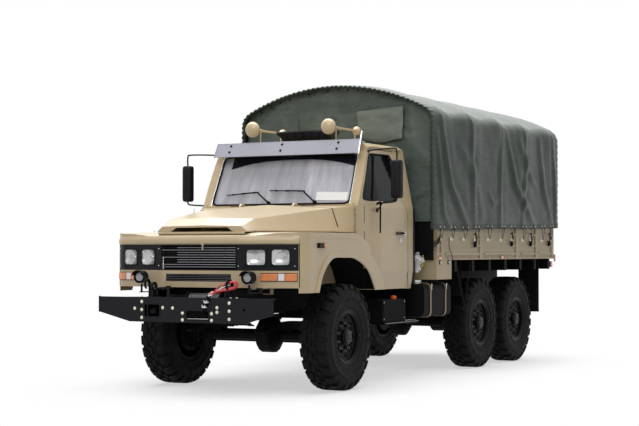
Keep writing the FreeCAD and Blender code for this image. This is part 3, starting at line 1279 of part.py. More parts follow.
def bow_hoops():
    """The bows' curved tops, square in section, with a knuckle over each post."""
    hoops = []
    t, out, low = BOW_R, BOW_X + BOW_R, BOW_BEND_Z
    rise = COVER_TOP - COVER_T - TOUCH - low
    radius = (out * out + rise * rise) / (2 * rise)
    sweep = math.asin(out / radius)
    for y in BOWS:
        rings = []
        for i in range(HOOP_FLATS + 1):
            turn = sweep * (2 * i / HOOP_FLATS - 1)
            across, up = math.sin(turn), math.cos(turn)
            ends = [V(r * across, 0, low + rise - radius + r * up) for r in (radius, radius - 2 * t)]
            rings.append([ends[0] + V(0, y - t, 0), ends[0] + V(0, y + t, 0), ends[1] + V(0, y + t, 0),
                          ends[1] + V(0, y - t, 0)])
        knuckles = [block(x - t, x + t, y - t, y + t, low - t, low + t) for x in (-BOW_X, BOW_X)]
        hoop = faceted(rings).cut(block(-out - t, out + t, y - 2 * t, y + 2 * t, low - 4 * t, low - t))
        hoops.append(joined(hoop, *knuckles))
    return Part.Compound(hoops)


# ---- the whole truck ---------------------------------------------------------------------------------
def build():
    nodes = {
        "chassis_frame": chassis_frame(),
        "front_bumper": front_bumper(),
        "bumper_frame": bumper_frame(),
        "winch": winch(),
        "winch_hook": winch_hook(),
        "tow_hitch": tow_hitch(),
        "front_axle": front_axle(),
        "rear_axles": rear_axles(),
        "leaf_springs": leaf_springs(),
        "driveline": driveline(),
        "nose_panel": nose_panel(),
        "grille": grille(),
        "headlamps": headlamps(),
        "indicators": indicators(),
        "fog_lamps": fog_lamps(),
        "engine": engine(),
        "front_fenders": front_fenders(),
        "hood": hood(),
        "cab_shell": cab_shell(),
        "cab_glass": cab_glass(),
        "sun_visor": sun_visor(),
        "air_horns": air_horns(),
        "roof_hatch": roof_hatch(),
        "wipers": wipers(),
        "seats": seats(),
        "dashboard": dashboard(),
        "fuel_tank": fuel_tank(),
        "cab_steps": cab_steps(),
        "toolbox": toolbox(),
        "mudguards": mudguards(),
        "rear_lamps": rear_lamps(),
        "cargo_floor": cargo_floor(),
        "cargo_sides": cargo_sides(),
        "headboard": headboard(),
        "tailgate": tailgate(),
        "canopy_cover": canopy_cover(),
        "bow_posts": bow_posts(),
        "bow_hoops": bow_hoops(),
        "tie_rod": tie_rod(),
        "air_pipe": air_pipe(),
    }
    for name, side in (("left", 1), ("right", -1)):
        nodes["door_" + name] = door(side)
        nodes["door_glass_" + name] = door_glass(side)
        nodes["mirror_" + name] = mirror(side)
        nodes["knuckle_" + name] = knuckle(side)
    one_tyre, one_rim = tyre(), rim()
    for name, (side, y) in WHEELS.items():
        nodes["tyre_" + name] = on_wheel(one_tyre, side, y)
        nodes["rim_" + name] = on_wheel(one_rim, side, y)
    return nodes


def middle_y(nodes):
    """The middle of the truck's length, which becomes Y = 0."""
    box = Part.Compound(list(nodes.values())).BoundBox
    return (box.YMin + box.YMax) / 2


def main():
    nodes = build()
    shift = V(0, -middle_y(nodes), 0)
    os.makedirs("parts", exist_ok=True)
    for name, shape in nodes.items():
        shape.translate(shift)
        shape.exportStep(os.path.join("parts", name + ".step"))
    print("origin is", round(-shift.y, 3), "mm behind the front axle")


if __name__ == "__main__":
    main()
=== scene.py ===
"""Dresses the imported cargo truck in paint, rubber, cloth and glass, and adds the pieces that the solids lack."""
from bisect import bisect
from math import atan2, cos, dist, exp, pi, radians, sin, sqrt

import bmesh
import bpy
from mathutils import Matrix, Vector, noise


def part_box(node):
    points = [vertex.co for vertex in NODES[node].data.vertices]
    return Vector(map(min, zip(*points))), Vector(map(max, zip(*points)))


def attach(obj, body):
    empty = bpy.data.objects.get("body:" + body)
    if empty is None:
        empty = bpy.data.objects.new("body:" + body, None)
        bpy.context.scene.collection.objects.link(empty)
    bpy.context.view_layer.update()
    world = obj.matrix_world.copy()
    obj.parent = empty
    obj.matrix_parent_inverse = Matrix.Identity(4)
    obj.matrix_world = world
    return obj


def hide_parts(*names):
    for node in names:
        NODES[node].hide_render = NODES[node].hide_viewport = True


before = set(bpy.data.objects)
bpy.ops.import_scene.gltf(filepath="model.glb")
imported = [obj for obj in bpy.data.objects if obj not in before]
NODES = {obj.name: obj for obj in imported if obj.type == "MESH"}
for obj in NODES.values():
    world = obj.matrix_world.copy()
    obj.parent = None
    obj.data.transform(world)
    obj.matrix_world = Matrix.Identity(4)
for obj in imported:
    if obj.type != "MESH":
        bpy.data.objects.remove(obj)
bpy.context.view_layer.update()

TYRE_LOW, TYRE_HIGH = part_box("tyre_front_left")
AXLE_Y = (TYRE_LOW.y + TYRE_HIGH.y) / 2      # the front axle, where the drawing has Y = 0
MM = 0.001
TRACK, WHEELBASE, BOGIE, TYRE_R = 1930.0, 3650.0, 1250.0, 555.0


def P(x, y, z):
    """A point of the drawing, in millimetres from the front axle, in the row frame."""
    return Vector((x * MM, y * MM + AXLE_Y, z * MM))


CAMERA_AT = P(8290.0, -14214.0, 1447.0)
CAMERA_LENS, SENSOR = 86.6, 36.0
CAMERA_RISE, CAMERA_TURN = 0.0246, 0.4867    # radians up from level, and round from facing the rear


def add_camera():
    data = bpy.data.cameras.new("camera")
    data.lens = CAMERA_LENS
    data.sensor_width = SENSOR
    data.clip_end = 200.0
    camera = bpy.data.objects.new("camera", data)
    camera.location = CAMERA_AT
    camera.rotation_euler = (pi / 2 + CAMERA_RISE, 0.0, CAMERA_TURN)
    bpy.context.scene.collection.objects.link(camera)
    bpy.context.scene.camera = camera


add_camera()


# ---- materials ----
class Nodes:
    """A material, and a short way to write its nodes. Names of sockets have _ for a space."""

    def __init__(self, name):
        self.material = bpy.data.materials.new(name)
        self.material.use_nodes = True
        self.tree = self.material.node_tree
        self.shader = self.tree.nodes["Principled BSDF"]
        self.coords = self.tree.nodes.new("ShaderNodeTexCoord").outputs["Object"]

    def feed(self, socket, value):
        """Links an output to a socket, or sets the socket to a number, a vector or a colour."""
        if isinstance(value, bpy.types.NodeSocket):
            self.tree.links.new(value, socket)
        elif isinstance(value, tuple) and len(value) < len(socket.default_value):
            socket.default_value = (*value, 1.0)
        else:
            socket.default_value = value

    def node(self, kind, **values):
        """A new node, with its sockets fed and its settings made."""
        made = self.tree.nodes.new("ShaderNode" + kind)
        for key, value in values.items():
            socket = made.inputs.get(key.replace("_", " "))
            if socket is None:
                setattr(made, key, value)
            else:
                self.feed(socket, value)
        return made

    def finish(self, **values):
        """Feeds the shader's own sockets."""
        for key, value in values.items():
            self.feed(self.shader.inputs[key.replace("_", " ")], value)

    def noise(self, scale, detail=4.0, rough=0.55, stretch=None, distort=0.0):
        source = self.coords
        if stretch:
            source = self.node("Mapping", Scale=stretch, Vector=source).outputs["Vector"]
        return self.node("TexNoise", Scale=scale, Detail=detail, Roughness=rough, Distortion=distort,
                         Vector=source).outputs["Fac"]

    def ramp(self, value, low, high, start=0.0, end=1.0):
        """Maps a value's run from start to end onto low to high."""
        return self.node("MapRange", Value=value, From_Min=start, From_Max=end, To_Min=low,
                         To_Max=high).outputs["Result"]

    def mix(self, share, a, b):
        made = self.node("Mix", data_type="RGBA", Factor=share)
        self.feed(made.inputs[6], a)
        self.feed(made.inputs[7], b)
        return made.outputs[2]

    def math(self, operation, a, b, clamp=False):
        made = self.node("Math", operation=operation, use_clamp=clamp)
        self.feed(made.inputs[0], a)
        self.feed(made.inputs[1], b)
        return made.outputs["Value"]

    def bump(self, value, strength, distance):
        """Adds relief on top of what the shader already has."""
        normal = self.shader.inputs["Normal"]
        made = self.node("Bump", Strength=strength, Distance=distance, Height=value)
        if normal.is_linked:
            self.feed(made.inputs["Normal"], normal.links[0].from_socket)
        self.feed(normal, made.outputs["Normal"])


def scaled(colour, share, more=0.0):
    return tuple(min(1.0, c * share + more) for c in colour)


def paint(name, colour, rough=0.32, coat=0.5, dust=0.25, dust_top=1.1, dust_colour=(0.42, 0.38, 0.31), shine=0.4):
    """Sprayed enamel: a little mottled, with road dust up to dust_top and in the grain of the spray."""
    n = Nodes(name)
    base = n.mix(n.ramp(n.noise(3.0, 5.0, 0.6), 0, 1, 0.3, 0.7), scaled(colour, 0.94), scaled(colour, 1.06))
    grime = n.noise(14.0, 8.0, 0.7)
    height = n.node("SeparateXYZ", Vector=n.coords).outputs["Z"]
    low = n.ramp(height, 1.0, 0.0, 0.2, dust_top)
    amount = n.math("MULTIPLY", n.math("MULTIPLY", low, n.ramp(grime, 0.2, 1.0, 0.35, 0.75)), dust, True)
    n.finish(Base_Color=n.mix(amount, base, dust_colour),
             Roughness=n.ramp(n.math("ADD", n.noise(60.0, 3.0), amount), rough - 0.04, rough + 0.14, 0.3, 1.2),
             Coat_Weight=coat, Coat_Roughness=0.3, Specular_IOR_Level=shine)
    n.bump(n.noise(220.0, 2.0), 0.04, 0.001)
    return n.material


def plastic(name, colour, rough=0.45, grain=0.15, dust=0.12, shine=0.3):
    """Moulded plastic or crinkle-coated metal, with a fine leathery grain."""
    n = Nodes(name)
    dusty = n.ramp(n.noise(5.0, 5.0, 0.6), 0, dust, 0.35, 0.8)
    n.finish(Base_Color=n.mix(dusty, colour, scaled(colour, 0.7, 0.06)),
             Roughness=n.ramp(n.noise(40.0, 4.0), rough - 0.06, rough + 0.1, 0.3, 0.7), Specular_IOR_Level=shine)
    n.bump(n.node("TexVoronoi", Scale=420.0, Vector=n.coords).outputs["Distance"], grain, 0.0006)
    return n.material


def rubber(name, colour=(0.006, 0.006, 0.007), rough=0.72, dust=0.15):
    n = Nodes(name)
    n.finish(Base_Color=n.mix(n.ramp(n.noise(9.0, 8.0, 0.65), 0, dust, 0.42, 0.75), colour, (0.05, 0.046, 0.041)),
             Roughness=n.ramp(n.noise(30.0, 4.0), rough - 0.1, rough + 0.12, 0.3, 0.7), Specular_IOR_Level=0.12)
    n.bump(n.noise(180.0, 4.0, 0.7), 0.12, 0.0015)
    return n.material


def metal(name, colour, rough=0.25, brushed=True, tarnish=0.15):
    n = Nodes(name)
    grain = n.noise(90.0, 3.0, 0.5, (1.0, 1.0, 12.0)) if brushed else n.noise(35.0, 4.0)
    n.finish(Base_Color=n.mix(n.ramp(n.noise(12.0, 6.0), 0, tarnish, 0.4, 0.8), colour, scaled(colour, 0.45)),
             Metallic=1.0, Roughness=n.ramp(grain, rough - 0.06, rough + 0.12, 0.3, 0.7))
    n.bump(grain, 0.03, 0.0008)
    return n.material


def pane(name, pane_colour, alpha, rough=0.02, clear=(0.9, 0.93, 0.93), shine=1.0):
    """Window glass or film: a coloured pane, half clear, and a little dusty."""
    n = Nodes(name)
    dust = n.noise(6.0, 8.0, 0.7)
    n.finish(Base_Color=n.mix(n.ramp(dust, 0, 0.25, 0.4, 0.9), pane_colour, clear),
             Roughness=n.ramp(dust, rough, rough + 0.06, 0.3, 0.9),
             Alpha=n.ramp(dust, alpha, min(1.0, alpha + 0.08), 0.3, 0.9),
             Coat_Weight=shine, Coat_Roughness=0.02, Specular_IOR_Level=shine)
    return n.material


def flutes(n, scale, strength, distance):
    """Upright ribs in a moulded lens."""
    n.bump(n.node("TexWave", Scale=scale, bands_direction="X", Vector=n.coords).outputs["Fac"], strength, distance)


def fluted(name):
    """Headlamp glass: greyish, half clear, with upright flutes."""
    n = Nodes(name)
    haze = n.noise(4.0, 4.0, 0.5)
    n.finish(Base_Color=n.mix(n.ramp(haze, 0, 1, 0.3, 0.7), (0.42, 0.42, 0.42), (0.60, 0.60, 0.59)),
             Alpha=n.ramp(haze, 0.30, 0.55, 0.3, 0.8), Roughness=n.ramp(haze, 0.06, 0.16, 0.3, 0.8),
             Coat_Weight=0.5)
    flutes(n, 34.0, 0.5, 0.003)
    return n.material


def screen(name):
    """Windscreen glass whose colour holds a painted reflection of a pale sky, in upright streaks."""
    n = Nodes(name)
    streaks = n.noise(9.0, 6.0, 0.65, (1.0, 0.3, 0.12))
    broad = n.noise(1.1, 3.0, 0.5, (1.0, 0.6, 0.7))
    # Painted reflection: pale sky colours in upright streaks, darkened in broad patches below.
    sky = n.mix(n.ramp(streaks, 0, 1, 0.35, 0.68), (0.40, 0.40, 0.45), (0.68, 0.68, 0.73))
    n.finish(Base_Color=n.mix(n.ramp(broad, 0, 0.55, 0.4, 0.7), sky, (0.25, 0.25, 0.28)),
             Roughness=n.ramp(streaks, 0.04, 0.12, 0.3, 0.8), Alpha=n.ramp(broad, 0.86, 0.72, 0.35, 0.75),
             Coat_Weight=0.6, Coat_Roughness=0.03)
    return n.material


def lens(name, colour):
    """Coloured or clear plastic lens with fine flutes."""
    n = Nodes(name)
    n.finish(Base_Color=n.mix(n.ramp(n.noise(20.0), 0, 0.5, 0.3, 0.8), colour, scaled(colour, 0.7)),
             Roughness=n.ramp(n.noise(50.0), 0.1, 0.2, 0.3, 0.7), Coat_Weight=1.0, Subsurface_Weight=0.15,
             Subsurface_Radius=(0.01, 0.004, 0.002))
    flutes(n, 60.0, 0.4, 0.002)
    return n.material


def cloth(name, colour, light, rough=0.42, sheen=0.0, weave=0.35, coat=0.05, painted_roof_glare=0.0):
    """Coated tarpaulin: a fine weave under a worn coat, and a painted highlight that makes it paler where it faces
    the sky, as strong as the last argument asks.
    """
    n = Nodes(name)
    worn = n.noise(1.6, 8.0, 0.65, (1.0, 0.6, 2.2), 0.6)
    streak = n.noise(5.0, 6.0, 0.7, (0.4, 1.0, 3.0))
    base = n.mix(n.ramp(worn, 0, 1, 0.35, 0.75), colour, light)
    base = n.mix(n.ramp(streak, 0, 0.35, 0.5, 0.85), base, scaled(light, 1.8, 0.02))
    # Painted highlight: faces that look up are mixed towards pale grey-green, standing in for the glare on the
    # roof.
    if painted_roof_glare:
        facing = n.node("SeparateXYZ", Vector=n.node("NewGeometry").outputs["Normal"])
        base = n.mix(n.ramp(facing.outputs["Z"], 0.0, painted_roof_glare, 0.35, 0.95), base, (0.42, 0.44, 0.42))
    n.finish(Base_Color=base, Roughness=n.ramp(streak, rough - 0.1, rough + 0.14, 0.3, 0.8), Sheen_Weight=sheen,
             Specular_IOR_Level=0.14, Coat_Weight=coat, Coat_Roughness=0.3)
    threads = n.node("TexBrick", Scale=260.0, Mortar_Size=0.04, Vector=n.coords, offset=0.5)
    n.bump(n.noise(26.0, 6.0, 0.7, (1.0, 1.0, 0.5), 0.8), 0.25, 0.006)
    n.bump(threads.outputs["Fac"], weave, 0.0006)
    return n.material


TAN = (0.50, 0.388, 0.235)
BLACK = (0.004, 0.004, 0.005)
SOOT = (0.03, 0.027, 0.024)
M = {
    "tan": paint("tan_enamel", TAN, 0.34, 0.3, 0.12),
    # The load bed's tan: the cab's tan at 0.8 brightness, which is painted shade, with real dust up to 1.9 m.
    "tan_low": paint("tan_enamel_bed_shaded", scaled(TAN, 0.80), 0.45, 0.1, 0.3, 1.9, (0.30, 0.27, 0.22)),
    "black": paint("black_enamel", BLACK, 0.45, 0.03, 0.08, 1.0, SOOT, shine=0.07),
    "under": paint("underside_black", (0.006, 0.006, 0.007), 0.62, 0.0, 0.15, 0.9, SOOT, shine=0.07),
    "bumper": paint("bumper_black", (0.006, 0.006, 0.009), 0.42, 0.07, 0.06, 0.9, (0.04, 0.038, 0.037),
                    shine=0.15),
    "plastic": plastic("black_plastic", (0.005, 0.005, 0.007), 0.42, 0.12, 0.08, 0.15),
    "matt": plastic("matt_black", (0.003, 0.003, 0.004), 0.7, 0.1, 0.03, 0.08),
    "rubber": rubber("tyre_rubber"),
    "steel": metal("worn_steel", (0.55, 0.54, 0.52), 0.35),
    "chrome": metal("chrome_trim", (0.85, 0.86, 0.88), 0.08, False, 0.05),
    "mirror": metal("lamp_reflector", (0.80, 0.80, 0.79), 0.2, False, 0.12),
    "slat": metal("grille_slats", (0.30, 0.30, 0.32), 0.35, True, 0.1),
    "rope": metal("winch_rope", (0.16, 0.16, 0.16), 0.5, False, 0.5),
    # The cab's side windows: near black and 70% opaque, which is painted shade of the cab's inside, not a colour
    # of the glass.
    "window": pane("window_glass", (0.006, 0.007, 0.009), 0.7, 0.02, (0.03, 0.033, 0.036), 0.1),
    "screen": screen("windscreen_glass"),
    "lamp_glass": fluted("lamp_glass"),
    "amber": lens("amber_lens", (0.80, 0.22, 0.03)),
    "red_lens": lens("red_lens", (0.62, 0.02, 0.015)),
    "red": paint("red_enamel", (0.55, 0.012, 0.02), 0.25, 0.8, 0.0),
    # The cover gets the painted highlight on its roof at half strength.
    "cover": cloth("tarpaulin", (0.022, 0.034, 0.026), (0.045, 0.062, 0.049), 0.32, painted_roof_glare=0.5),
    "curtain": cloth("tarpaulin_front", (0.072, 0.092, 0.077), (0.135, 0.160, 0.138), 0.36),
    "cord": rubber("lacing_rubber", (0.012, 0.012, 0.013), 0.5, 0.15),
    "visor": plastic("visor_plastic", (0.32, 0.32, 0.37), 0.3, 0.0, 0.0, 0.4),
    "seat": cloth("seat_cloth", (0.05, 0.05, 0.055), (0.08, 0.08, 0.085), 0.8, 0.3, 0.5, 0.0),
    "white": plastic("white_label", (0.80, 0.80, 0.78), 0.4, 0.02, 0.1),
    "pale": metal("pale_zinc", (0.72, 0.69, 0.56), 0.4, False, 0.2),
    "wheel_hub": paint("hub_black", (0.006, 0.006, 0.007), 0.3, 0.08, 0.1, 1.0, SOOT, shine=0.12),
    "wheel_edge": metal("rim_edge", (0.16, 0.155, 0.15), 0.3, False, 0.3),
    "stud": metal("wheel_stud", (0.13, 0.125, 0.12), 0.35, False, 0.4),
    "fog_glass": lens("fog_glass", (0.34, 0.35, 0.37)),
    "cover_edge": cloth("tarpaulin_hem", (0.018, 0.024, 0.020), (0.034, 0.041, 0.035)),
    "cover_light": cloth("tarpaulin_flap", (0.13, 0.152, 0.13), (0.20, 0.225, 0.195)),
    "horn": paint("horn_enamel", scaled(TAN, 1.05), 0.3, 0.4, 0.0),
    "screen_band": plastic("screen_band", (0.006, 0.008, 0.012), 0.08, 0.01, 0.02),
    "lamp_white": lens("clear_lens", (0.82, 0.84, 0.86)),
    "dial": plastic("dial_face", (0.03, 0.03, 0.032), 0.3, 0.02, 0.1),
    "strap": paint("strap_brown", (0.30, 0.20, 0.11), 0.5, 0.1, 0.3, 1.3),
    "orange": plastic("orange_plastic", (0.75, 0.13, 0.03), 0.4, 0.05, 0.1),
    "yellow": plastic("yellow_strap", (0.75, 0.62, 0.06), 0.6, 0.3, 0.1),
    "wrap": pane("clear_wrap", (0.78, 0.80, 0.80), 0.45, 0.15),
    "wheel": paint("wheel_black", BLACK, 0.4, 0.04, 0.07, 0.9, SOOT, shine=0.07),
}

# The solids of each finish; a name that ends in _ stands for all that start with it.
FINISH = {
    "under": "chassis_frame winch tow_hitch front_axle rear_axles leaf_springs driveline engine fuel_tank "
             "cab_steps cargo_floor headboard tie_rod knuckle_",
    "tan": "nose_panel front_fenders hood cab_shell air_horns door_",
    "tan_low": "toolbox cargo_sides tailgate",
    "plastic": "grille fog_lamps roof_hatch air_pipe mirror_",
    "rubber": "mudguards tyre_", "matt": "wipers dashboard", "bumper": "front_bumper bumper_frame",
    "black": "bow_posts bow_hoops", "red": "winch_hook", "lamp_glass": "headlamps", "amber": "indicators",
    "red_lens": "rear_lamps", "screen": "cab_glass", "window": "door_glass_", "visor": "sun_visor",
    "seat": "seats", "cover": "canopy_cover", "wheel": "rim_",
}
FINISH_BY_NAME = {name: finish for finish, names in FINISH.items() for name in names.split()}


def finish_of(node):
    """The material of a solid, by the longest name that fits it."""
    fitting = [name for name in FINISH_BY_NAME if node == name or (name[-1] == "_" and node.startswith(name))]
    return M[FINISH_BY_NAME[max(fitting, key=len)]]


def blacken_arches(mesh):
    """Gives matt black to the faces over the front wheels that look inwards."""
    half, ahead = 1.10, 0.95                 # the arches' reach from the middle, and ahead of the axle
    mesh.materials.append(M["matt"])
    for face in mesh.polygons:
        middle = face.center
        inward = face.normal.y * (AXLE_Y - middle.y) + face.normal.z * (TYRE_R * MM - middle.z)
        turned = inward > 0.12 or face.normal.x * middle.x < -0.3
        if abs(middle.x) < half and middle.y > AXLE_Y - ahead and turned:
            face.material_index = 1


for node_name, node_object in NODES.items():
    node_object.data.materials.clear()
    node_object.data.materials.append(finish_of(node_name))
blacken_arches(NODES["front_fenders"].data)


# ---- drawing pieces ----
LEFT, REAR, UP, FRONT = (1, 0, 0), (0, 1, 0), (0, 0, 1), (0, -1, 0)
AXES = {"X": lambda w, u, v: (w, u, v), "Y": lambda w, u, v: (u, w, v), "Z": lambda w, u, v: (u, v, w)}


def turns(count, first=0.0):
    """Cosines and sines of so many even turns; first is where they start, in steps."""
    return [(cos(2 * pi * (i + first) / count), sin(2 * pi * (i + first) / count)) for i in range(count)]


def lattice(down, across, place):
    """Rows of points, each from two shares of 0 to 1: the row's and the one along it."""
    return [[place(i / down, j / across) for j in range(across + 1)] for i in range(down + 1)]


def shown(name, data, body):
    """Puts a mesh or curve in the scene as a piece that rides on a body."""
    obj = bpy.data.objects.new(name, data)
    bpy.context.scene.collection.objects.link(obj)
    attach(obj, body)
    return obj


def smoothed(mesh, angle):
    mesh.polygons.foreach_set("use_smooth", [True] * len(mesh.polygons))
    mesh.set_sharp_from_angle(angle=radians(angle))


class Form:
    """Faces of one visible piece, drawn in millimetres from the front axle, each with its finish."""

    def __init__(self, name):
        self.name = name
        self.verts, self.faces, self.index, self.slots = [], [], [], []
        self.matrix = None

    def add(self, verts, faces, finish):
        if finish not in self.slots:
            self.slots.append(finish)
        base = len(self.verts)
        if self.matrix:
            verts = [self.matrix @ Vector(v) for v in verts]
        self.verts += [tuple(v) for v in verts]
        self.faces += [tuple(base + i for i in face) for face in faces]
        self.index += [self.slots.index(finish)] * len(faces)

    def box(self, x, y, z, finish):
        verts = [(a, b, c) for c in sorted(z) for b in sorted(y) for a in sorted(x)]
        faces = [(0, 2, 3, 1), (4, 5, 7, 6), (0, 1, 5, 4), (2, 6, 7, 3), (0, 4, 6, 2), (1, 3, 7, 5)]
        self.add(verts, faces, finish)

    def prism(self, points, axis, low, high, finish):
        """A flat outline of (u, v) points pushed along an axis."""
        n = len(points)
        verts = [AXES[axis](w, *p) for w in (low, high) for p in points]
        faces = [tuple(range(n)), tuple(range(2 * n - 1, n - 1, -1))]
        faces += [(i, i + n, (i + 1) % n + n, (i + 1) % n) for i in range(n)]
        self.add(verts, faces, finish)

    def rings(self, rings, finish, wrap=False, ends=True):
        """Faces from each closed ring of points to the next; a ring of one point is a tip."""
        verts, spans = [], []
        for ring in rings:
            spans.append(range(len(verts), len(verts) + len(ring)))
            verts += ring
        faces = []
        for a, b in zip(spans, spans[1:] + (spans[:1] if wrap else [])):
            n = max(len(a), len(b))
            for i in range(n):
                j = (i + 1) % n
                corners = [a[i % len(a)], b[i % len(b)], b[j % len(b)], a[j % len(a)]]
                corners = [c for k, c in enumerate(corners) if c != corners[k - 1]]
                if len(corners) > 2:
                    faces.append(corners)
        if ends and not wrap:
            faces += [list(s) for s in (spans[0], spans[-1]) if len(s) > 2]
        self.add(verts, faces, finish)

    def lathe(self, profile, centre, axis, finish, sides=24, wrap=False):
        """An (along, radius) profile turned round a direction through centre."""
        way = Vector(axis).normalized()
        side = way.orthogonal().normalized()
        up = way.cross(side)
        rings = []
        for along, radius in profile:
            middle = Vector(centre) + way * along
            rings.append([middle + (side * c + up * s) * radius for c, s in turns(sides if radius > 0 else 1)])
        self.rings(rings, finish, wrap)

    def tube(self, points, radius, finish, sides=8, wrap=False):
        """A round bar through the points; radius is one number, or one for each point."""
        path = [Vector(p) for p in points]
        n = len(path)
        sizes = [radius] * n if isinstance(radius, (int, float)) else radius
        side, rings = None, []
        for i, point in enumerate(path):
            before = point - path[i - 1] if i or wrap else path[1] - point
            after = path[(i + 1) % n] - point if i < n - 1 or wrap else before
            way = (before.normalized() + after.normalized()).normalized()
            side = (side - way * side.dot(way)).normalized() if side else way.orthogonal().normalized()
            up = way.cross(side)
            rings.append([point + (side * c + up * s) * sizes[i] for c, s in turns(sides)])
        self.rings(rings, finish, wrap)

    def grid(self, rows, finish):
        """An open sheet through rows of points."""
        width = len(rows[0])
        faces = [(r * width + i, r * width + i + 1, (r + 1) * width + i + 1, (r + 1) * width + i)
                 for r in range(len(rows) - 1) for i in range(width - 1)]
        self.add([p for row in rows for p in row], faces, finish)

    def bolt(self, centre, axis, radius, height, finish):
        """A bolt or rivet with a domed head."""
        dome = [(0, radius), (0.4 * height, radius), (0.8 * height, 0.72 * radius), (height, 0)]
        self.lathe(dome, centre, axis, finish, 10)

    def nut(self, centre, axis, radius, height, finish):
        hexagon = [(0, radius), (0.8 * height, radius), (height, 0.8 * radius), (height, 0)]
        self.lathe(hexagon, centre, axis, finish, 6)

    def mirrored(self):
        """Adds the image of everything drawn so far on the truck's other side."""
        n = len(self.verts)
        self.verts += [(-x, y, z) for x, y, z in self.verts]
        self.faces += [tuple(n + i for i in reversed(face)) for face in self.faces]
        self.index += self.index

    def flip(self):
        """Moves everything drawn so far to the truck's other side."""
        self.verts = [(-x, y, z) for x, y, z in self.verts]
        self.faces = [tuple(reversed(face)) for face in self.faces]

    def make(self, slot, body="chassis", bevel=0.0, smooth=32.0, solid=True, replaces=None):
        mesh = bpy.data.meshes.new(self.name)
        mesh.from_pydata([P(*v) for v in self.verts], [], self.faces)
        for key in self.slots:
            mesh.materials.append(M[key])
        mesh.polygons.foreach_set("material_index", self.index)
        if solid:
            work = bmesh.new()
            work.from_mesh(mesh)
            bmesh.ops.recalc_face_normals(work, faces=work.faces)
            work.to_mesh(mesh)
            work.free()
        smoothed(mesh, smooth)
        obj = shown(self.name, mesh, body)
        if bevel:
            edge = obj.modifiers.new("bevel", "BEVEL")
            edge.width = bevel * MM
            edge.segments = 2
            edge.angle_limit = radians(40)
        if replaces:
            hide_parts(replaces)
        return obj


def piece(slot, **how):
    """Draws a piece with the function below it, gives it the function's name, and puts it in the scene."""
    def draw(function):
        form = Form(function.__name__)
        function(form)
        return form.make(slot, **how)
    return draw


def curve(points, steps=6, closed=False):
    """A smooth line of points through a few of them."""
    path = [Vector(p) for p in points]
    n = len(path)
    line = []
    for i in range(n if closed else n - 1):
        near = [(i + k) % n if closed else min(max(i + k, 0), n - 1) for k in (-1, 0, 1, 2)]
        a, b, c, d = (path[k] for k in near)
        for t in (k / steps for k in range(steps)):
            line.append(0.5 * (2 * b + (c - a) * t + (2 * a - 5 * b + 4 * c - d) * t ** 2
                               + (3 * b - a - 3 * c + d) * t ** 3))
    return line if closed else line + [path[-1]]


def between(table, value):
    """Reads a table of (position, value) pairs, with straight runs between them."""
    if value <= table[0][0]:
        return table[0][1]
    for (a, p), (b, q) in zip(table, table[1:]):
        if value <= b:
            return p + (q - p) * (value - a) / (b - a)
    return table[-1][1]


def bend(a, b, c, steps):
    """Points from a to c along a curve that b pulls towards itself."""
    return [a * (1 - t) ** 2 + b * 2 * t * (1 - t) + c * t ** 2 for t in (k / steps for k in range(steps + 1))]


def round_loop(corners, radius, steps=6):
    """A closed loop of points with its corners rounded."""
    loop = []
    pts = [Vector(c) for c in corners]
    for i, here in enumerate(pts):
        ends = [here + (other - here).normalized() * min(radius, (other - here).length * 0.45)
                for other in (pts[i - 1], pts[(i + 1) % len(pts)])]
        loop += bend(ends[0], here, ends[1], steps)
    return loop


def upright(x0, x1, z0, z1, y):
    """The corners of a rectangle that faces the front or the rear."""
    return [(x0, y, z0), (x1, y, z0), (x1, y, z1), (x0, y, z1)]


def frame_at(origin, across, up):
    """The matrix that puts local points on a face: across it, into the truck, and up."""
    u, w = Vector(across).normalized(), Vector(up).normalized()
    made = Matrix((u, w.cross(u), w)).transposed().to_4x4()
    made.translation = Vector(origin)
    return made


# ---- wheels ----
WHEELS = {"front": 0.0, "mid": WHEELBASE, "rear": WHEELBASE + BOGIE}
BLOCKS = 24                              # tread blocks round each half of a tyre
STUDS, STUDS_R, HOLES_R, CAP_R = 10, 142, 209, 50          # how many, and the radii of three rings on the rim

CARCASS = [(-128, 258), (-140, 284), (-148, 300), (-151, 318), (-155, 322), (-155, 330), (-152, 334), (-157, 372),
           (-159, 410), (-162, 414), (-162, 420), (-159, 424), (-156, 462), (-148, 496), (-134, 522), (-104, 534),
           (-50, 538), (0, 539)]
SHOULDER = [(54, 530), (54, 553), (60, 555), (112, 553), (138, 546), (152, 528), (159, 506), (157, 496),
            (146, 502), (130, 515), (100, 526)]
CENTRE = [(5, 530), (5, 554), (10, 555), (40, 555), (45, 553), (45, 530)]


def tread_block(form, profile, side, start, share, lean):
    """A block of tread: an (x, radius) outline swept round part of the tyre, leaning as it goes out."""
    step = 2 * pi / BLOCKS
    ends = []
    for edge in (0.0, share):
        ring = []
        for x, r in profile:
            turn = step * (start + edge + lean * abs(x) / 160)
            ring.append((side * x, r * cos(turn), r * sin(turn)))
        ends.append(ring)
    form.rings(ends, "rubber")


def tyre_form(name):
    form = Form(name)
    profile = CARCASS + [(-x, r) for x, r in reversed(CARCASS[:-1])]
    form.lathe(profile, (0, 0, 0), LEFT, "rubber", 72, wrap=True)
    for i in range(BLOCKS):
        for side, shift in ((1, 0.0), (-1, 0.5)):
            tread_block(form, SHOULDER, side, i + shift, 0.62, 0.25)
            tread_block(form, CENTRE, side, i + shift + 0.42, 0.56, 0.3)
            if i % 2:
                rib = [(150, 440), (162, 440), (162, 456), (150, 456)]
                tread_block(form, rib, side, i + shift + 0.2, 0.3, 0.25)
    return form


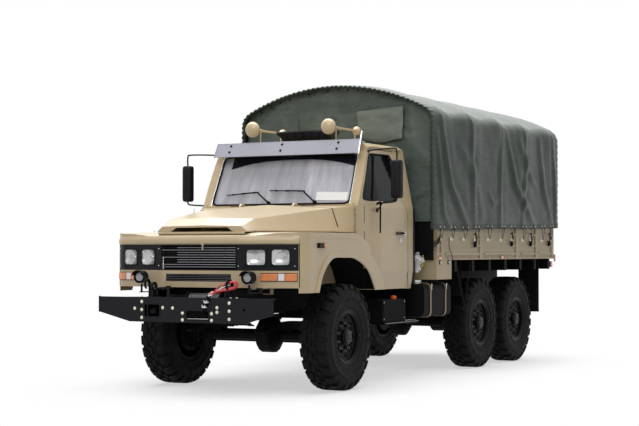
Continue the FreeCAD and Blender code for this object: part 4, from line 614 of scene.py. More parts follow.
RIM = [(-141, 284), (-134, 268), (-118, 258), (-100, 250), (100, 250), (112, 258), (121, 258), (124, 262),
       (130, 264), (138, 272), (141, 284), (144, 285), (145, 280), (141, 268), (133, 259), (127, 254), (120, 244),
       (52, 240), (-100, 240), (-130, 262), (-141, 276)]
DISC = [(98, 246), (96, 238), (90, 230), (84, 216), (76, 204), (70, 196), (66, 184), (68, 100), (75, 92), (75, 0)]
HUB = [(72, 0), (72, 96), (84, 94), (88, 86), (124, 84), (128, 78), (138, 76), (148, 62), (150, 40), (146, 36),
       (150, 28), (152, 0)]


def rim_form(name):
    form = Form(name)
    form.lathe(RIM, (0, 0, 0), LEFT, "wheel", 72, wrap=True)
    form.lathe([(22, 0), (22, 236)] + DISC, (0, 0, 0), LEFT, "wheel", 60)
    form.lathe(HUB, (0, 0, 0), LEFT, "wheel_hub", 32)
    form.lathe([(126, 262), (131, 262), (131, 256), (126, 256)], (0, 0, 0), LEFT, "wheel_edge", 60, wrap=True)
    for (c, s), (hole_c, hole_s) in zip(turns(STUDS, 0.5), turns(STUDS)):
        y, z = STUDS_R * c, STUDS_R * s
        form.lathe([(71, 24), (76, 24), (79, 20), (79, 0)], (0, y, z), LEFT, "wheel", 16)
        form.nut((78, y, z), LEFT, 17, 20, "stud")
        form.lathe([(96, 9), (112, 9), (114, 6), (114, 0)], (0, y, z), LEFT, "stud", 8)
        slope = (0.82, -0.57 * hole_c, -0.57 * hole_s)
        centre = (79, HOLES_R * hole_c, HOLES_R * hole_s)
        form.lathe([(-2, 20), (4, 20), (4, 15), (0.5, 14), (0.5, 0)], centre, slope, "matt", 14)
    for c, s in turns(8):
        form.nut((147, CAP_R * c, CAP_R * s), LEFT, 7, 6, "stud")
    form.tube([(118, 250, 0), (134, 250, 6), (150, 244, 12)], 4.5, "stud", 8)
    return form


def place_wheels(drawn, node, slot):
    """Copies the form drawn for one wheel to the six places."""
    for axle, y in WHEELS.items():
        for side, sign in (("left", 1), ("right", -1)):
            where = axle + "_" + side
            copy = Form("%s_of_%s" % (drawn.name, where))
            copy.slots, copy.index, copy.faces = drawn.slots, drawn.index, drawn.faces
            copy.verts = [(sign * (x + TRACK / 2), sign * v + y, w + TYRE_R) for x, v, w in drawn.verts]
            copy.make(slot, "wheel_" + where, smooth=38, replaces=node + "_" + where)


place_wheels(tyre_form("tread"), "tyre", "tyre_rubber")
place_wheels(rim_form("wheel"), "rim", "wheel_paint")


# ---- nose, lamps and bonnet ----
NOSE_Y, SLANT = -1150.0, (490.0, 108.0)
LAMPS = ((533.0, 748.0), (787.0, 992.0))
LAMP_LOW, LAMP_TOP = 1300.0, 1466.0
CORNER, CORNER_R = (930.0, -852.0), 190.0
BROW = ((-2, 1515), (9, 1518), (13, 1530), (13, 1550), (2, 1596), (-70, 1608), (-70, 1594), (-2, 1590))
BROW_HALF = 1064


def nose_face(x, out=0.0):
    """The y of the nose's front at x, out from it, also round its corner."""
    x = abs(x)
    if x > CORNER[0]:
        return CORNER[1] - sqrt(max(0.0, CORNER_R ** 2 - (x - CORNER[0]) ** 2)) - out
    return NOSE_Y + max(0.0, x - 440.0) * SLANT[1] / SLANT[0] - out


def wrapped(form, low, high, z0, z1, out, finish):
    """A thin plate on the nose from x low to x high that follows its slant and corner."""
    for side in (1, -1):
        sections = []
        for i in range(9):
            x = low + (high - low) * i / 8
            slope = (nose_face(x + 1) - nose_face(x - 1)) / 2
            away = Vector((slope, -1)).normalized()
            foot, face = (Vector((x, nose_face(x))) + away * d for d in (-2, out))
            sections.append([(side * foot.x, foot.y, z0), (side * face.x, face.y, z0 + 3),
                             (side * face.x, face.y, z1 - 3), (side * foot.x, foot.y, z1)])
        form.rings(sections, finish)


def rounded(x, z, radius, steps=6):
    """Points round a rectangle of half sizes x and z with rounded corners."""
    loop = []
    for k, (sx, sz) in enumerate(((1, 1), (-1, 1), (-1, -1), (1, -1))):
        for i in range(steps + 1):
            turn = pi / 2 * (k + i / steps)
            loop.append((sx * (x - radius) + radius * cos(turn), sz * (z - radius) + radius * sin(turn)))
    return loop


def border(form, x, z, wide, out, depth, finish, turn=10):
    """A flat frame round a rectangle, out from its face, with its outer edge turned down."""
    inner, outer = rounded(x, z, turn), rounded(x + wide, z + wide, 6)
    loops = [[(u, -(out - depth), v) for u, v in inner], [(u, -out, v) for u, v in inner],
             [(u * 0.3 + a * 0.7, -out, v * 0.3 + b * 0.7) for (u, v), (a, b) in zip(inner, outer)],
             [(u, -(out - 0.5 * wide), v) for u, v in outer], [(u, -(out - depth), v) for u, v in outer]]
    form.rings(loops, finish, ends=False)


def bowl(u, v, half, tall):
    """A point of the reflector behind a lamp's glass; u and v run from -1 to 1."""
    return u * half, 46 * (1 - min(1.0, (u * u + v * v) / 1.5)) + 14, v * tall


@piece("lamp_glass", smooth=40)
def headlamp_details(form):
    for side in (1, -1):
        for low, high in LAMPS:
            mid, half = side * (low + high) / 2, (high - low) / 2
            form.matrix = frame_at((mid, nose_face(mid, -2), (LAMP_LOW + LAMP_TOP) / 2),
                                   (SLANT[0], side * SLANT[1], 0), UP)
            tall = (LAMP_TOP - LAMP_LOW) / 2
            border(form, half - 6, tall - 4, 12, 5, 14, "plastic", 34)
            border(form, half - 10, tall - 8, 4, 2, 20, "matt", 32)
            form.grid(lattice(14, 18, lambda v, u: bowl(2 * u - 1, 2 * v - 1, half - 6, tall - 6)), "mirror")
            form.lathe([(-60, 17), (-38, 17), (-30, 12), (-28, 0)], (0, 0, 0), FRONT, "chrome", 20)
    form.matrix = None
    for x in (470, 1036):
        for z in (1296, 1468):
            for side in (1, -1):
                form.bolt((side * x, nose_face(x, 10), z), FRONT, 5, 4, "chrome")


@piece("bare_steel", bevel=0.8)
def grille_slats(form):
    for i in range(9):
        z = 1284 + i * 24.25
        low = -250 if i in (2, 3, 5, 6, 8) else -436
        form.prism([(NOSE_Y + 2, z - 4), (NOSE_Y - 3, z), (NOSE_Y + 1, z + 5), (NOSE_Y + 12, z + 5),
                    (NOSE_Y + 12, z - 4)], "X", low, 436, "slat")
    for z in (1150, 1168, 1186, 1204):
        form.prism([(NOSE_Y + 4, z - 3), (NOSE_Y + 1, z + 1), (NOSE_Y + 6, z + 4), (NOSE_Y + 16, z + 4),
                    (NOSE_Y + 16, z - 3)], "X", -384, 384, "slat")
    for x in (-300, -150, 0, 150, 300):
        form.box((x - 3, x + 3), (NOSE_Y + 12, NOSE_Y + 30), (1266, 1500), "matt")
    form.box((-438, 438), (NOSE_Y + 50, NOSE_Y + 54), (1256, 1508), "matt")
    form.box((-384, 384), (NOSE_Y + 50, NOSE_Y + 54), (1142, 1212), "matt")
    for x in (-442, 442):
        form.box((x - 5, x + 5), (NOSE_Y - 3, NOSE_Y + 10), (1260, 1502), "plastic")
    for z in (1260, 1502):
        form.box((-446, 446), (NOSE_Y - 3, NOSE_Y + 10), (z - 4, z + 4), "plastic")


@piece("tan_paint", smooth=72.0)
def nose_brow(form):
    """The rounded lip along the top of the nose."""
    brow = []
    for i in range(49):
        x = -BROW_HALF + 2 * BROW_HALF * i / 48
        slope = (nose_face(abs(x) + 1) - nose_face(abs(x) - 1)) / 2
        away = Vector((slope if x > 0 else -slope, -1)).normalized()
        section = []
        for out, z in BROW:
            spot = Vector((x, nose_face(x))) + away * out
            section.append((spot.x, spot.y, z))
        brow.append(section)
    form.rings(brow, "tan")


@piece("tan_paint", bevel=1.5)
def nose_trim(form):
    form.prism([(-1092, 1640), (-1104, 1634), (-1108, 1622), (-1100, 1612), (-1092, 1612)], "X", -512, 512, "tan")
    form.box((49, 63), (NOSE_Y - 10, NOSE_Y + 2), (1454, 1520), "tan")
    form.box((40, 72), (NOSE_Y - 12, NOSE_Y + 2), (1506, 1524), "tan")
    for x in (-1000, -700, -420, 0, 420, 700, 1000):
        form.bolt((x, nose_face(x, -1), 1104), FRONT, 8, 5, "tan")
    for side in (1, -1):
        seam = [(side * x, -985, z) for x, z in ((1067, 1086), (1067, 1470), (1062, 1560), (1040, 1590))]
        form.tube(curve(seam, 5), 4, "matt", 6)


@piece("amber_lens", bevel=2.0, replaces="indicators")
def indicators_fitted(form):
    """Amber lenses, each with a clear window, on the nose's slanted faces and round its corners."""
    wrapped(form, 690, 1052, 1144, 1230, 6, "plastic")
    wrapped(form, 696, 868, 1149, 1225, 20, "amber")
    wrapped(form, 872, 936, 1149, 1225, 16, "lamp_white")
    wrapped(form, 940, 1046, 1149, 1225, 20, "amber")
    for side in (1, -1):
        for x in (704, 1036):
            form.bolt((side * x, nose_face(x, 20), 1217), FRONT, 4.5, 4, "steel")


@piece("amber_lens", bevel=2.0)
def side_repeaters(form):
    outline = [(-708, 1474), (-552, 1474), (-546, 1486), (-546, 1514), (-552, 1526), (-708, 1526), (-714, 1514),
               (-714, 1486)]
    form.prism(outline, "X", 1120.5, 1128, "plastic")
    form.prism([(-700, 1480), (-610, 1480), (-610, 1520), (-700, 1520)], "X", 1126, 1146, "plastic")
    form.prism([(-606, 1480), (-558, 1484), (-552, 1500), (-558, 1516), (-606, 1520)], "X", 1126, 1150, "amber")
    form.mirrored()


@piece("black_plastic")
def fog_lamp_details(form):
    for side in (1, -1):
        x, y, z = side * 635.0, -1232.0, 1184.0
        form.lathe([(-30, 30), (-26, 48), (-10, 60), (24, 63), (30, 66), (34, 66), (34, 58), (28, 55)], (x, y, z),
                   FRONT, "plastic", 40)
        form.lathe([(0, 8), (6, 24), (14, 40), (27, 54)], (x, y, z), FRONT, "mirror", 32)
        form.lathe([(22, 55), (28, 44), (31, 22), (32, 0)], (x, y, z), FRONT, "fog_glass", 32)
        span = [radians(20 + 140 * k / 16) for k in range(17)]
        peak = [[(x + reach * cos(t), y + depth, z + reach * sin(t)) for t in span]
                for depth, reach in ((-18, 68), (-74, 66), (-74, 63), (-18, 65))]
        form.grid(peak + peak[:1], "plastic")
        form.lathe([(0, 14), (5, 14), (7, 9), (7, 0)], (x, y + 14, z - 64), (0, 0, -1), "steel", 6)
        form.tube(curve([(x, y + 34, z), (x + side * 10, y + 60, z - 20), (x, NOSE_Y - 4, 1120)], 6), 4, "matt", 8)


# ---- bumper and winch ----
BUMPER_BOLTS = ((-494, 939), (-494, 859), (-494, 780), (-579, 871), (-243, 882), (-126, 881), (-10, 832),
                (-10, 766), (327, 832), (327, 767), (389, 892), (389, 847), (528, 939), (528, 860), (528, 781))


@piece("black_paint", bevel=1.2)
def bumper_details(form):
    for x, z in BUMPER_BOLTS:
        form.lathe([(0, 17), (3, 17), (4, 14), (4, 0)], (x, -1420, z), FRONT, "pale", 16)
        form.bolt((x, -1423, z), FRONT, 12, 9, "pale")
    form.lathe([(0, 18), (2, 18), (2, 13), (-8, 13)], (696, -1420, 874), FRONT, "bumper", 20)
    form.lathe([(0.6, 13), (0.6, 0)], (696, -1420, 874), FRONT, "matt", 20)
    for x0, x1, z0, z1 in ((-458, -283, 794, 912), (38, 297, 772, 855)):
        mid_x, mid_z = (x0 + x1) / 2, (z0 + z1) / 2
        form.matrix = frame_at((mid_x, -1421, mid_z), LEFT, UP)
        border(form, (x1 - x0) / 2, (z1 - z0) / 2, 10, 5, 13, "bumper")
    form.matrix = None
    for z in (800, 822, 842):
        form.tube([(44, -1402, z), (291, -1402, z)], 8, "matt", 10)
    form.tube([(48, -1425, 779), (288, -1425, 779)], 3.5, "steel", 8)
    form.box((-600, -268), (-1316, -1310), (776, 930), "matt")
    form.lathe([(-30, 22), (-24, 34), (24, 34), (30, 22)], (-366, -1380, 846), (1, 0, 0.3), "under", 20)
    for side in (-1, 1):
        end = [(side * x, z) for x, z in ((1020, 826), (1020, 990), (1006, 990), (1006, 832))]
        form.prism(end, "Y", -1424, -1409, "bumper")
    for side in (1, -1):
        hook = curve([(side * 482, -1290, 985), (side * 486, -1284, 1060), (side * 486, -1300, 1130),
                      (side * 482, -1340, 1158), (side * 478, -1378, 1138), (side * 476, -1386, 1096),
                      (side * 476, -1366, 1070)], 6)
        sizes = [19 - 9 * i / (len(hook) - 1) for i in range(len(hook))]
        form.tube(hook, sizes, "under", 10)
        for x in (490, 560):
            form.bolt((side * x, -1330, 984), UP, 13, 10, "pale")
    strut = [(-262, 985), (-214, 985), (-222, 1010), (-226, 1060), (-212, 1098), (-268, 1098), (-252, 1060),
             (-256, 1010)]
    form.prism(strut, "Y", -1332, -1318, "bumper")


@piece("black_paint", smooth=40)
def winch_details(form):
    y, z = -1175.0, 930.0
    steps, spread = 20 * 14, 352.0          # twenty turns of rope, each in fourteen steps
    form.tube([(-52 + spread * i / steps, y + 90 * cos(2 * pi * i / 14), z + 90 * sin(2 * pi * i / 14))
               for i in range(steps + 1)], 7.5, "rope", 6)
    for x in (-78, 318):
        form.lathe([(-5, 60), (-5, 112), (5, 112), (5, 60)], (x, y, z), LEFT, "under", 40, wrap=True)
    form.lathe([(0, 70), (26, 70), (34, 60), (40, 30), (40, 0)], (340, y + 15, z), LEFT, "under", 28)
    form.lathe([(0, 78), (70, 78), (84, 66), (88, 40), (88, 0)], (-240, y, z), (-1, 0, 0), "under", 28)
    for c, s in turns(8):
        form.bolt((-312, y + 58 * c, z + 58 * s), (-1, 0, 0), 7, 6, "steel")


@piece("red_paint", smooth=45, replaces="winch_hook")
def winch_hook_details(form):
    """The winch's wire over the bumper, its thimble and clamps, and the red hook through the tow eye."""
    over = -1436.0
    end = (318, over + 30, 1020)
    wire = curve([(215, -1360, 832), (222, -1415, 836), (232, over, 862), (262, over - 2, 930), (288, over, 990),
                  (304, over + 12, 1010)], 6)
    form.tube(wire, 8, "under", 8)
    form.tube([Vector(p) + Vector((14, 1, -4)) for p in wire[12:]], 8, "under", 8)
    form.tube(curve([(296, over + 6, 1004), (322, over + 16, 1012), (336, over + 34, 1034), (318, over + 44, 1044),
                     (300, over + 26, 1026)], 6, True), 8, "lamp_white", 8, wrap=True)
    for x, z in ((252, 896), (274, 943)):
        form.box((x - 18, x + 24), (over - 12, over + 10), (z - 8, z + 8), "lamp_white")
        for dx in (-12, 18):
            form.tube([(x + dx, over - 12, z - 6), (x + dx - 6, over - 16, z + 22)], 5, "lamp_white", 8)
    hook = curve([end, (362, -1398, 1046), (418, -1374, 1060), (478, -1346, 1070), (528, -1326, 1086),
                  (554, -1320, 1116), (536, -1330, 1142), (500, -1350, 1140), (474, -1364, 1122)], 7)
    sizes = [10 + 8 * sin(pi * min(1.0, i / (len(hook) - 6))) ** 1.2 for i in range(len(hook))]
    sizes[-6:] = [max(5.0, s * 0.8) for s in sizes[-6:]]
    form.tube(hook, sizes, "red", 12)
    latch = [(352, -1400, 1056), (392, -1392, 1094), (430, -1384, 1116), (474, -1368, 1126)]
    form.tube(curve(latch, 5), 7, "red", 8)
    spring = [(372, -1400, 1060), (420, -1392, 1082), (470, -1376, 1104), (500, -1366, 1112)]
    form.tube(curve(spring, 5), 5, "lamp_white", 8)
    form.lathe([(-16, 16), (-12, 20), (12, 20), (16, 16)], end, (1, 0.3, 0.2), "red", 16)


# ---- cab ----
SCREEN_LOW, SCREEN_HIGH = Vector((0, 490, 1935)), Vector((0, 768, 2540))
SCREEN_UP = (SCREEN_HIGH - SCREEN_LOW).normalized()
SCREEN_OUT = Vector((0, -SCREEN_UP.z, SCREEN_UP.y))


def on_screen(x, z, out=0.0):
    """A point of the windscreen's plane at x and height z, out from it."""
    t = (z - SCREEN_LOW.z) / SCREEN_UP.z
    return Vector((x, 0, 0)) + SCREEN_LOW + SCREEN_UP * t + SCREEN_OUT * out


@piece("black_plastic", smooth=50)
def windscreen_details(form):
    edge = [on_screen(x, z, 1) for x, z in ((-862, 1957), (862, 1957), (837, 2502), (0, 2514), (-837, 2502))]
    form.tube(round_loop(edge, 70), 11, "rubber", 8, wrap=True)

    def band(v, u):
        u = 2 * u - 1
        return on_screen(60 + u * (782 + 6 * v), 2504 - v * (40 + 95 * abs(u) ** 2.5), -10)

    form.grid(lattice(8, 60, band), "screen_band")
    card = [on_screen(x, z, -8) for x, z in ((440, 2002), (826, 1992), (818, 2084), (434, 2094))]
    behind = [p - SCREEN_OUT * 3 for p in card]
    form.rings([card, behind], "white")


@piece("black_plastic", replaces="wipers")
def wiper_details(form):
    for pivot_x, elbow, end in ((-126, (-300, 2086), (-690, 2064)), (452, (278, 2092), (-150, 2108))):
        pivot = on_screen(pivot_x, 1966, 20)
        mid, tip = on_screen(*elbow, 22), on_screen(*end, 12)
        form.lathe([(-14, 20), (8, 20), (16, 12), (16, 0)], pivot, SCREEN_OUT, "matt", 16)
        form.tube([pivot + SCREEN_OUT * 8, pivot.lerp(mid, 0.25) + SCREEN_OUT * 6, mid], [12, 9, 8], "matt", 8)
        form.tube([mid, mid.lerp(tip, 0.5) + SCREEN_OUT * 2], 8, "matt", 8)
        form.tube([mid.lerp(tip, -0.05), tip], 6, "matt", 6)
        for share in (0.12, 0.45, 0.5, 0.8):
            form.box(*[(c - 9, c + 9) for c in mid.lerp(tip, share)], "matt")
        form.tube([mid.lerp(tip, -0.05) - SCREEN_OUT * 9, tip - SCREEN_OUT * 6], 4, "rubber", 6)


@piece("pale_plastic")
def visor_details(form):
    low, high = Vector((0, 611, 2506)), Vector((0, 701, 2660))
    up = (high - low).normalized()
    out = Vector((0, -up.z, up.y))
    for x in (-722, -62, 640):
        for t in (0.34, 0.80):
            form.bolt(low.lerp(high, t) + Vector((x, 0, 0)), out, 15, 9, "matt")
    for x in (-905, 905):
        form.tube([low + Vector((x, -2, 0)), high + Vector((x, -2, 0))], 5, "visor", 8)
    form.tube([(915, 618, 2496), (915, 705, 2745)], 7, "chrome", 8)
    form.tube([low + Vector((-905, 0, 0)), low + Vector((905, 0, 0))], 5, "visor", 8)
    form.tube([high + Vector((-905, 2, -2)), high + Vector((905, 2, -2))], 5, "visor", 8)


@piece("tan_paint", smooth=50, replaces="air_horns")
def horns(form):
    ball = [(690 + 60 * (1 - cos(t)), 88 * sin(t)) for t in (pi * k / 14 for k in range(9))]
    bell = [(690, 0)] + ball[1:] + [(792, 52), (808, 30), (826, 18), (870, 14), (1120, 12), (1384, 11), (1394, 24)]
    bell += [(1446 - 50 * cos(t), 50 * sin(t)) for t in (pi * k / 10 for k in range(2, 10))]
    bell += [(1496, 0)]
    for x in (-483, 483):
        form.lathe(bell, (x, 0, 2815), REAR, "horn", 32)
        for y in (930, 1400):
            form.tube([(x, y, 2812), (x, y, 2660)], 8, "tan", 10)
            form.lathe([(0, 18), (16, 18), (20, 12), (20, 0)], (x, y, 2655), UP, "tan", 14)
            form.lathe([(-13, 16), (-13, 20), (13, 20), (13, 16)], (x, y, 2815), REAR, "tan", 16, wrap=True)


@piece("black_plastic", replaces="roof_hatch")
def roof_details(form):
    wedge = []
    for z, low, high, front, rear in ((2676, -170, 384, 905, 1060), (2720, -196, 410, 885, 1080),
                                      (2768, -252, 452, 868, 1084), (2786, -246, 446, 880, 1076)):
        wedge.append([(x, y, z + 14 * sin(pi * (x - low) / (high - low))) for x, y in
                      [(low + (high - low) * i / 12, front) for i in range(13)]
                      + [(high - (high - low) * i / 12, rear) for i in range(13)]])
    form.rings(wedge, "plastic")
    for i in range(1, 6):
        x = -246 + 692 * i / 6
        form.tube([(x * 0.84, 890, 2700), (x, 870, 2776)], 4, "matt", 6)
    form.tube([(-187, 1300, 2680), (-187, 1300, 2982)], [5, 2.5], "matt", 8)
    form.lathe([(0, 20), (16, 20), (24, 10), (24, 0)], (-187, 1300, 2684), UP, "plastic", 16)
    for side in (1, -1):
        rail = ((905, 800, 2560), (938, 860, 2584), (946, 1100, 2586), (946, 1640, 2586))
        form.tube(curve([(side * x, y, z) for x, y, z in rail], 5), 8, "tan", 8)


def mirror_pieces(side, name):
    form = Form("mirror_details_" + name)
    x0, x1, y0, y1, z0, z1 = 1268.0, 1384.0, 672.0, 756.0, 2010.0, 2424.0
    mid = (x0 + x1) / 2

    def plate(y, grow, radius):
        return round_loop(upright(x0 - grow, x1 + grow, z0 - grow, z1 + grow, y), radius, 5)

    form.rings([plate(y, grow, 34) for y, grow in ((y0, -26), (y0 + 8, -8), (y0 + 22, 0), (y1 - 4, 0), (y1, -5))],
               "plastic")
    glass = plate(y1 + 0.8, -9, 28)
    form.add(glass, [tuple(range(len(glass)))], "mirror")
    upper = [(936, 806, 2528), (1010, 782, 2542), (mid - 40, 722, 2548), (mid, 716, 2520), (mid, 716, z1 - 6)]
    lower = [(1046, 790, 1950), (1110, 770, 1962), (mid - 30, 722, 1976), (mid, 716, 2004), (mid, 716, z0 + 6)]
    form.tube(curve(upper, 7), 9, "plastic", 10)
    form.tube(curve(lower, 7), 9, "plastic", 10)
    form.tube([(1056, 800, 1880), (1140, 762, 1972)], 7, "plastic", 8)
    form.tube([(1050, 812, 1966), (1108, 770, 1972)], 11, "matt", 8)
    form.tube([(1098, 786, 1966), (1084, 812, 1640)], [10, 9], "matt", 10)
    form.lathe([(0, 26), (8, 26), (12, 18), (12, 0)], (1050, 800, 1888), LEFT, "plastic", 16)
    form.lathe([(0, 22), (8, 22), (12, 14), (12, 0)], (932, 808, 2524), (1, -0.3, 0), "plastic", 16)
    for z in (2150, 2300):
        form.box((mid - 16, mid + 16), (y0 - 6, y0 + 4), (z - 12, z + 12), "plastic")
    if side < 0:
        form.flip()
    form.make("black_plastic", "door_" + name, smooth=45, replaces="mirror_" + name)


DOOR_LOW, DOOR_HIGH = 1925, 2583         # the heights between which the door's skin leans in
DOOR_X = ((968, 928), (1045, 934), (1072, 938))          # its x there, at its front, middle and rear


def door_pieces(side, name):
    form = Form("door_details_" + name)

    def face(y, z, out=0.0):
        """A point of the door's skin beside its window, out from it."""
        t = min(1.0, max(0.0, (z - DOOR_LOW) / (DOOR_HIGH - DOOR_LOW)))
        front, mid, rear = (low + (high - low) * t for low, high in DOOR_X)
        x = mid + (rear - mid) * (y - 900) / 550 if y > 900 else front + (mid - front) * (y - 452) / 448
        return Vector((min(x, rear) + out, y, z))

    loop = [(on_screen(0, z).y + behind, z) for z, behind in ((2004, 64), (2080, 52), (2455, 52))]
    loop += [(815, 2505), (1310, 2512), (1352, 2460), (1352, 2130), (1310, 2010), (1120, 1985), (700, 1992)]
    form.tube(round_loop([face(y, z, 0) for y, z in loop], 40, 4), 8, "rubber", 8, wrap=True)
    pillar = [face(on_screen(0, 1990).y + 260, 1994, -3), face(on_screen(0, 2480).y + 190, 2500, -3)]
    form.tube(pillar, 8, "rubber", 8)
    form.lathe([(0, 20), (5, 20), (9, 15), (9, 0)], face(1462, 1640, 0), LEFT, "chrome", 20)
    handle_plate = [(1262, 1622), (1438, 1622), (1446, 1640), (1438, 1658), (1262, 1658), (1254, 1640)]
    form.prism(handle_plate, "X", 1071, 1079, "plastic")
    handle = [(1082, 1270, 1640), (1098, 1290, 1641), (1100, 1350, 1642), (1098, 1410, 1641), (1082, 1432, 1640)]
    form.tube(curve(handle, 5), 9, "matt", 10)
    form.box((1068, 1073.5), (1346, 1398), (1540, 1586), "white")
    if side < 0:
        form.flip()
    form.make("black_plastic", "door_" + name)


@piece("tan_paint", bevel=0.8)
def body_trim(form):
    """Raised creases and sealing strips on the bonnet, cowl, fenders and cab."""
    for side in (1, -1):
        form.tube([on_screen(side * 872, 1950, 3), on_screen(side * 846, 2520, 3)], 6, "chrome", 8)
        crease = [(side * 1121, y, 1580) for y in (-820, -400, 0, 200)]
        form.tube(crease, 3, "tan", 6)
        lip = [(-690, 1035), (-600, 1215), (-400, 1370), (-140, 1384), (120, 1370), (420, 1250), (600, 1035)]
        form.tube(curve([(side * 1126, y, z) for y, z in lip], 6), 9, "tan", 8)
        form.bolt((side * 600, -1040, 1640), UP, 10, 6, "matt")
    for side in (1, -1):
        for y in (450, 1554):
            form.tube([(side * 1070.5, y, 1032), (side * 1070.5, y, 1924)], 3, "matt", 6)
        for z in (1300, 1700):
            form.tube([(side * 1074, 440, z - 40), (side * 1074, 440, z + 40)], 9, "tan", 12)
    cowl = ((-860, 1700), (-785, 1899), (0, 1942), (785, 1899), (860, 1700))
    form.tube([(x, 246, z) for x, z in cowl], 5, "rubber", 6)
    for x in (-430, 0, 430):
        form.box((x - 90, x + 90), (330, 372), (1941 - abs(x) * 0.02, 1946 - abs(x) * 0.02), "matt")
    form.box((-90, 90), (1746, 1752), (2440, 2500), "plastic")


# ---- inside the cab ----
@piece("black_plastic", bevel=2.0, replaces="dashboard")
def dashboard_details(form):
    face = [(424, 1700), (636, 1704), (640, 1760), (622, 1850), (600, 1884), (560, 1890), (468, 1890), (424, 1850)]
    form.prism(face, "X", -900, 900, "matt")
    hood = [(560, 1880), (640, 1872), (662, 1886), (640, 1926), (590, 1938), (548, 1920)]
    form.prism(hood, "X", 240, 620, "matt")
    way = Vector((0, 0.9, 0.42)).normalized()
    for x, r in ((300, 30), (390, 46), (490, 46), (570, 30)):
        centre = Vector((x, 640, 1896 - (18 if r < 40 else 6)))
        form.lathe([(0, r + 5), (4, r + 5), (6, r), (2, r - 2)], centre, way, "chrome", 28)
        form.lathe([(1.6, r - 2), (1.6, 0)], centre, way, "dial", 28)
        form.box((x - 1, x + 1), (643, 646), (centre.z, centre.z + r * 0.7), "red")
    form.box((-620, -180), (634, 644), (1742, 1850), "plastic")
    form.box((-420, -380), (644, 652), (1836, 1846), "chrome")
    for x in (-60, 0, 60, 120):
        form.lathe([(0, 14), (10, 12), (14, 8), (14, 0)], (x, 630, 1790), REAR, "plastic", 14)
    hub, lean = Vector((430, 812, 1868)), Vector((0, 0.824, 0.566)).normalized()
    across, up = Vector(LEFT), lean.cross(Vector(LEFT))
    ring = [hub + (across * c + up * s) * 220 for c, s in turns(48)]
    form.tube(ring, 14, "plastic", 12, wrap=True)
    form.tube([(430, 590, 1716), tuple(hub - lean * 20)], 24, "plastic", 16)
    form.lathe([(-24, 30), (-18, 52), (4, 56), (14, 48), (18, 0)], hub, lean, "plastic", 28)
    for k in (0, 24, 36):
        form.tube([hub, hub.lerp(ring[k], 0.5) - lean * 4, ring[k]], [15, 11, 10], "plastic", 8)


SWELL = 0.012                            # the most that a cushion swells past its stuffed shape, in metres


def pad(name, low, high, channels):
    """A crowned cushion between two corners, swollen by pressure, then sewn in channels across its width."""
    work = bmesh.new()
    bmesh.ops.create_cube(work, size=1.0)
    lo, hi = P(*low), P(*high)
    inset = Vector((SWELL, SWELL, SWELL))
    for v in work.verts:
        v.co = Vector([(hi - inset)[k] if v.co[k] > 0 else (lo + inset)[k] for k in range(3)])
    bmesh.ops.bevel(work, geom=list(work.edges), offset=0.022, segments=3, affect="EDGES")
    mesh = bpy.data.meshes.new(name)
    work.to_mesh(mesh)
    work.free()
    mesh.materials.append(M["seat"])
    obj = shown(name, mesh, "chassis")
    remesh = obj.modifiers.new("remesh", "REMESH")
    remesh.mode = "VOXEL"
    remesh.voxel_size = 0.024
    applied(obj)
    rest = [v.co.copy() for v in obj.data.vertices]
    swollen(obj)
    thin = min(range(3), key=lambda k: hi[k] - lo[k])
    for v, was in zip(obj.data.vertices, rest):
        move = v.co - was
        if move.length > SWELL:
            v.co = was + move.normalized() * SWELL
        crown = [min(1.0, (min(was[k] - lo[k], hi[k] - was[k]) / 0.14)) for k in range(3) if k != thin]
        outward = 1 if was[thin] > (lo[thin] + hi[thin]) / 2 else -1
        v.co[thin] -= outward * 0.014 * (1 - min(crown)) ** 2
        share = (v.co.x - lo.x) / (hi.x - lo.x) * channels
        groove = exp(-((share - round(share)) * (hi.x - lo.x) / channels / 0.012) ** 2)
        if 0.5 < share < channels - 0.5:
            v.co[thin] -= outward * 0.009 * groove
    smooth = obj.modifiers.new("round", "SUBSURF")
    smooth.levels = smooth.render_levels = 1
    applied(obj)
    smoothed(obj.data, 80)
    return obj


def applied(obj):
    """Replaces the piece's mesh by what its modifiers make of it."""
    bpy.context.view_layer.update()
    made = bpy.data.meshes.new_from_object(obj.evaluated_get(bpy.context.evaluated_depsgraph_get()))
    obj.modifiers.clear()
    obj.data = made


def swollen(obj):
    """Lets pressure swell the piece as cloth."""
    cloth = obj.modifiers.new("cloth", "CLOTH")
    cloth.settings.use_pressure = True
    cloth.settings.uniform_pressure_force = 4.0
    cloth.settings.effector_weights.gravity = 0.0
    cloth.settings.quality = 4
    cloth.point_cache.frame_start, cloth.point_cache.frame_end = 1, 20
    for frame_number in range(1, 21):
        bpy.context.scene.frame_set(frame_number)
    applied(obj)
    bpy.context.scene.frame_set(1)


@piece("seat_cloth", bevel=4.0, replaces="seats")
def seat_frames(form):
    for x0, x1 in ((-860, 96), (150, 860)):
        form.box((x0, x1), (1046, 1434), (1090, 1380), "matt")
        form.box((x0 + 20, x1 - 20), (1010, 1476), (1378, 1396), "plastic")
        form.prism([(1490, 1394), (1512, 1394), (1660, 2030), (1636, 2030)], "X", x0 + 30, x1 - 30, "plastic")


for seat_name, x_low, x_high, sewn in (("driver", 140, 872, 4), ("bench", -876, 110, 6)):
    pad("seat_" + seat_name, (x_low, 1002, 1396), (x_high, 1478, 1506), sewn)
    back = pad("back_" + seat_name, (x_low, 1502, 1500), (x_high, 1596, 2040), sewn)
    for vertex in back.data.vertices:
        vertex.co.y += (vertex.co.z - 1.5) * 0.16          # it leans back above the seat

for side_sign, side_name in ((1, "left"), (-1, "right")):
    mirror_pieces(side_sign, side_name)
    door_pieces(side_sign, side_name)


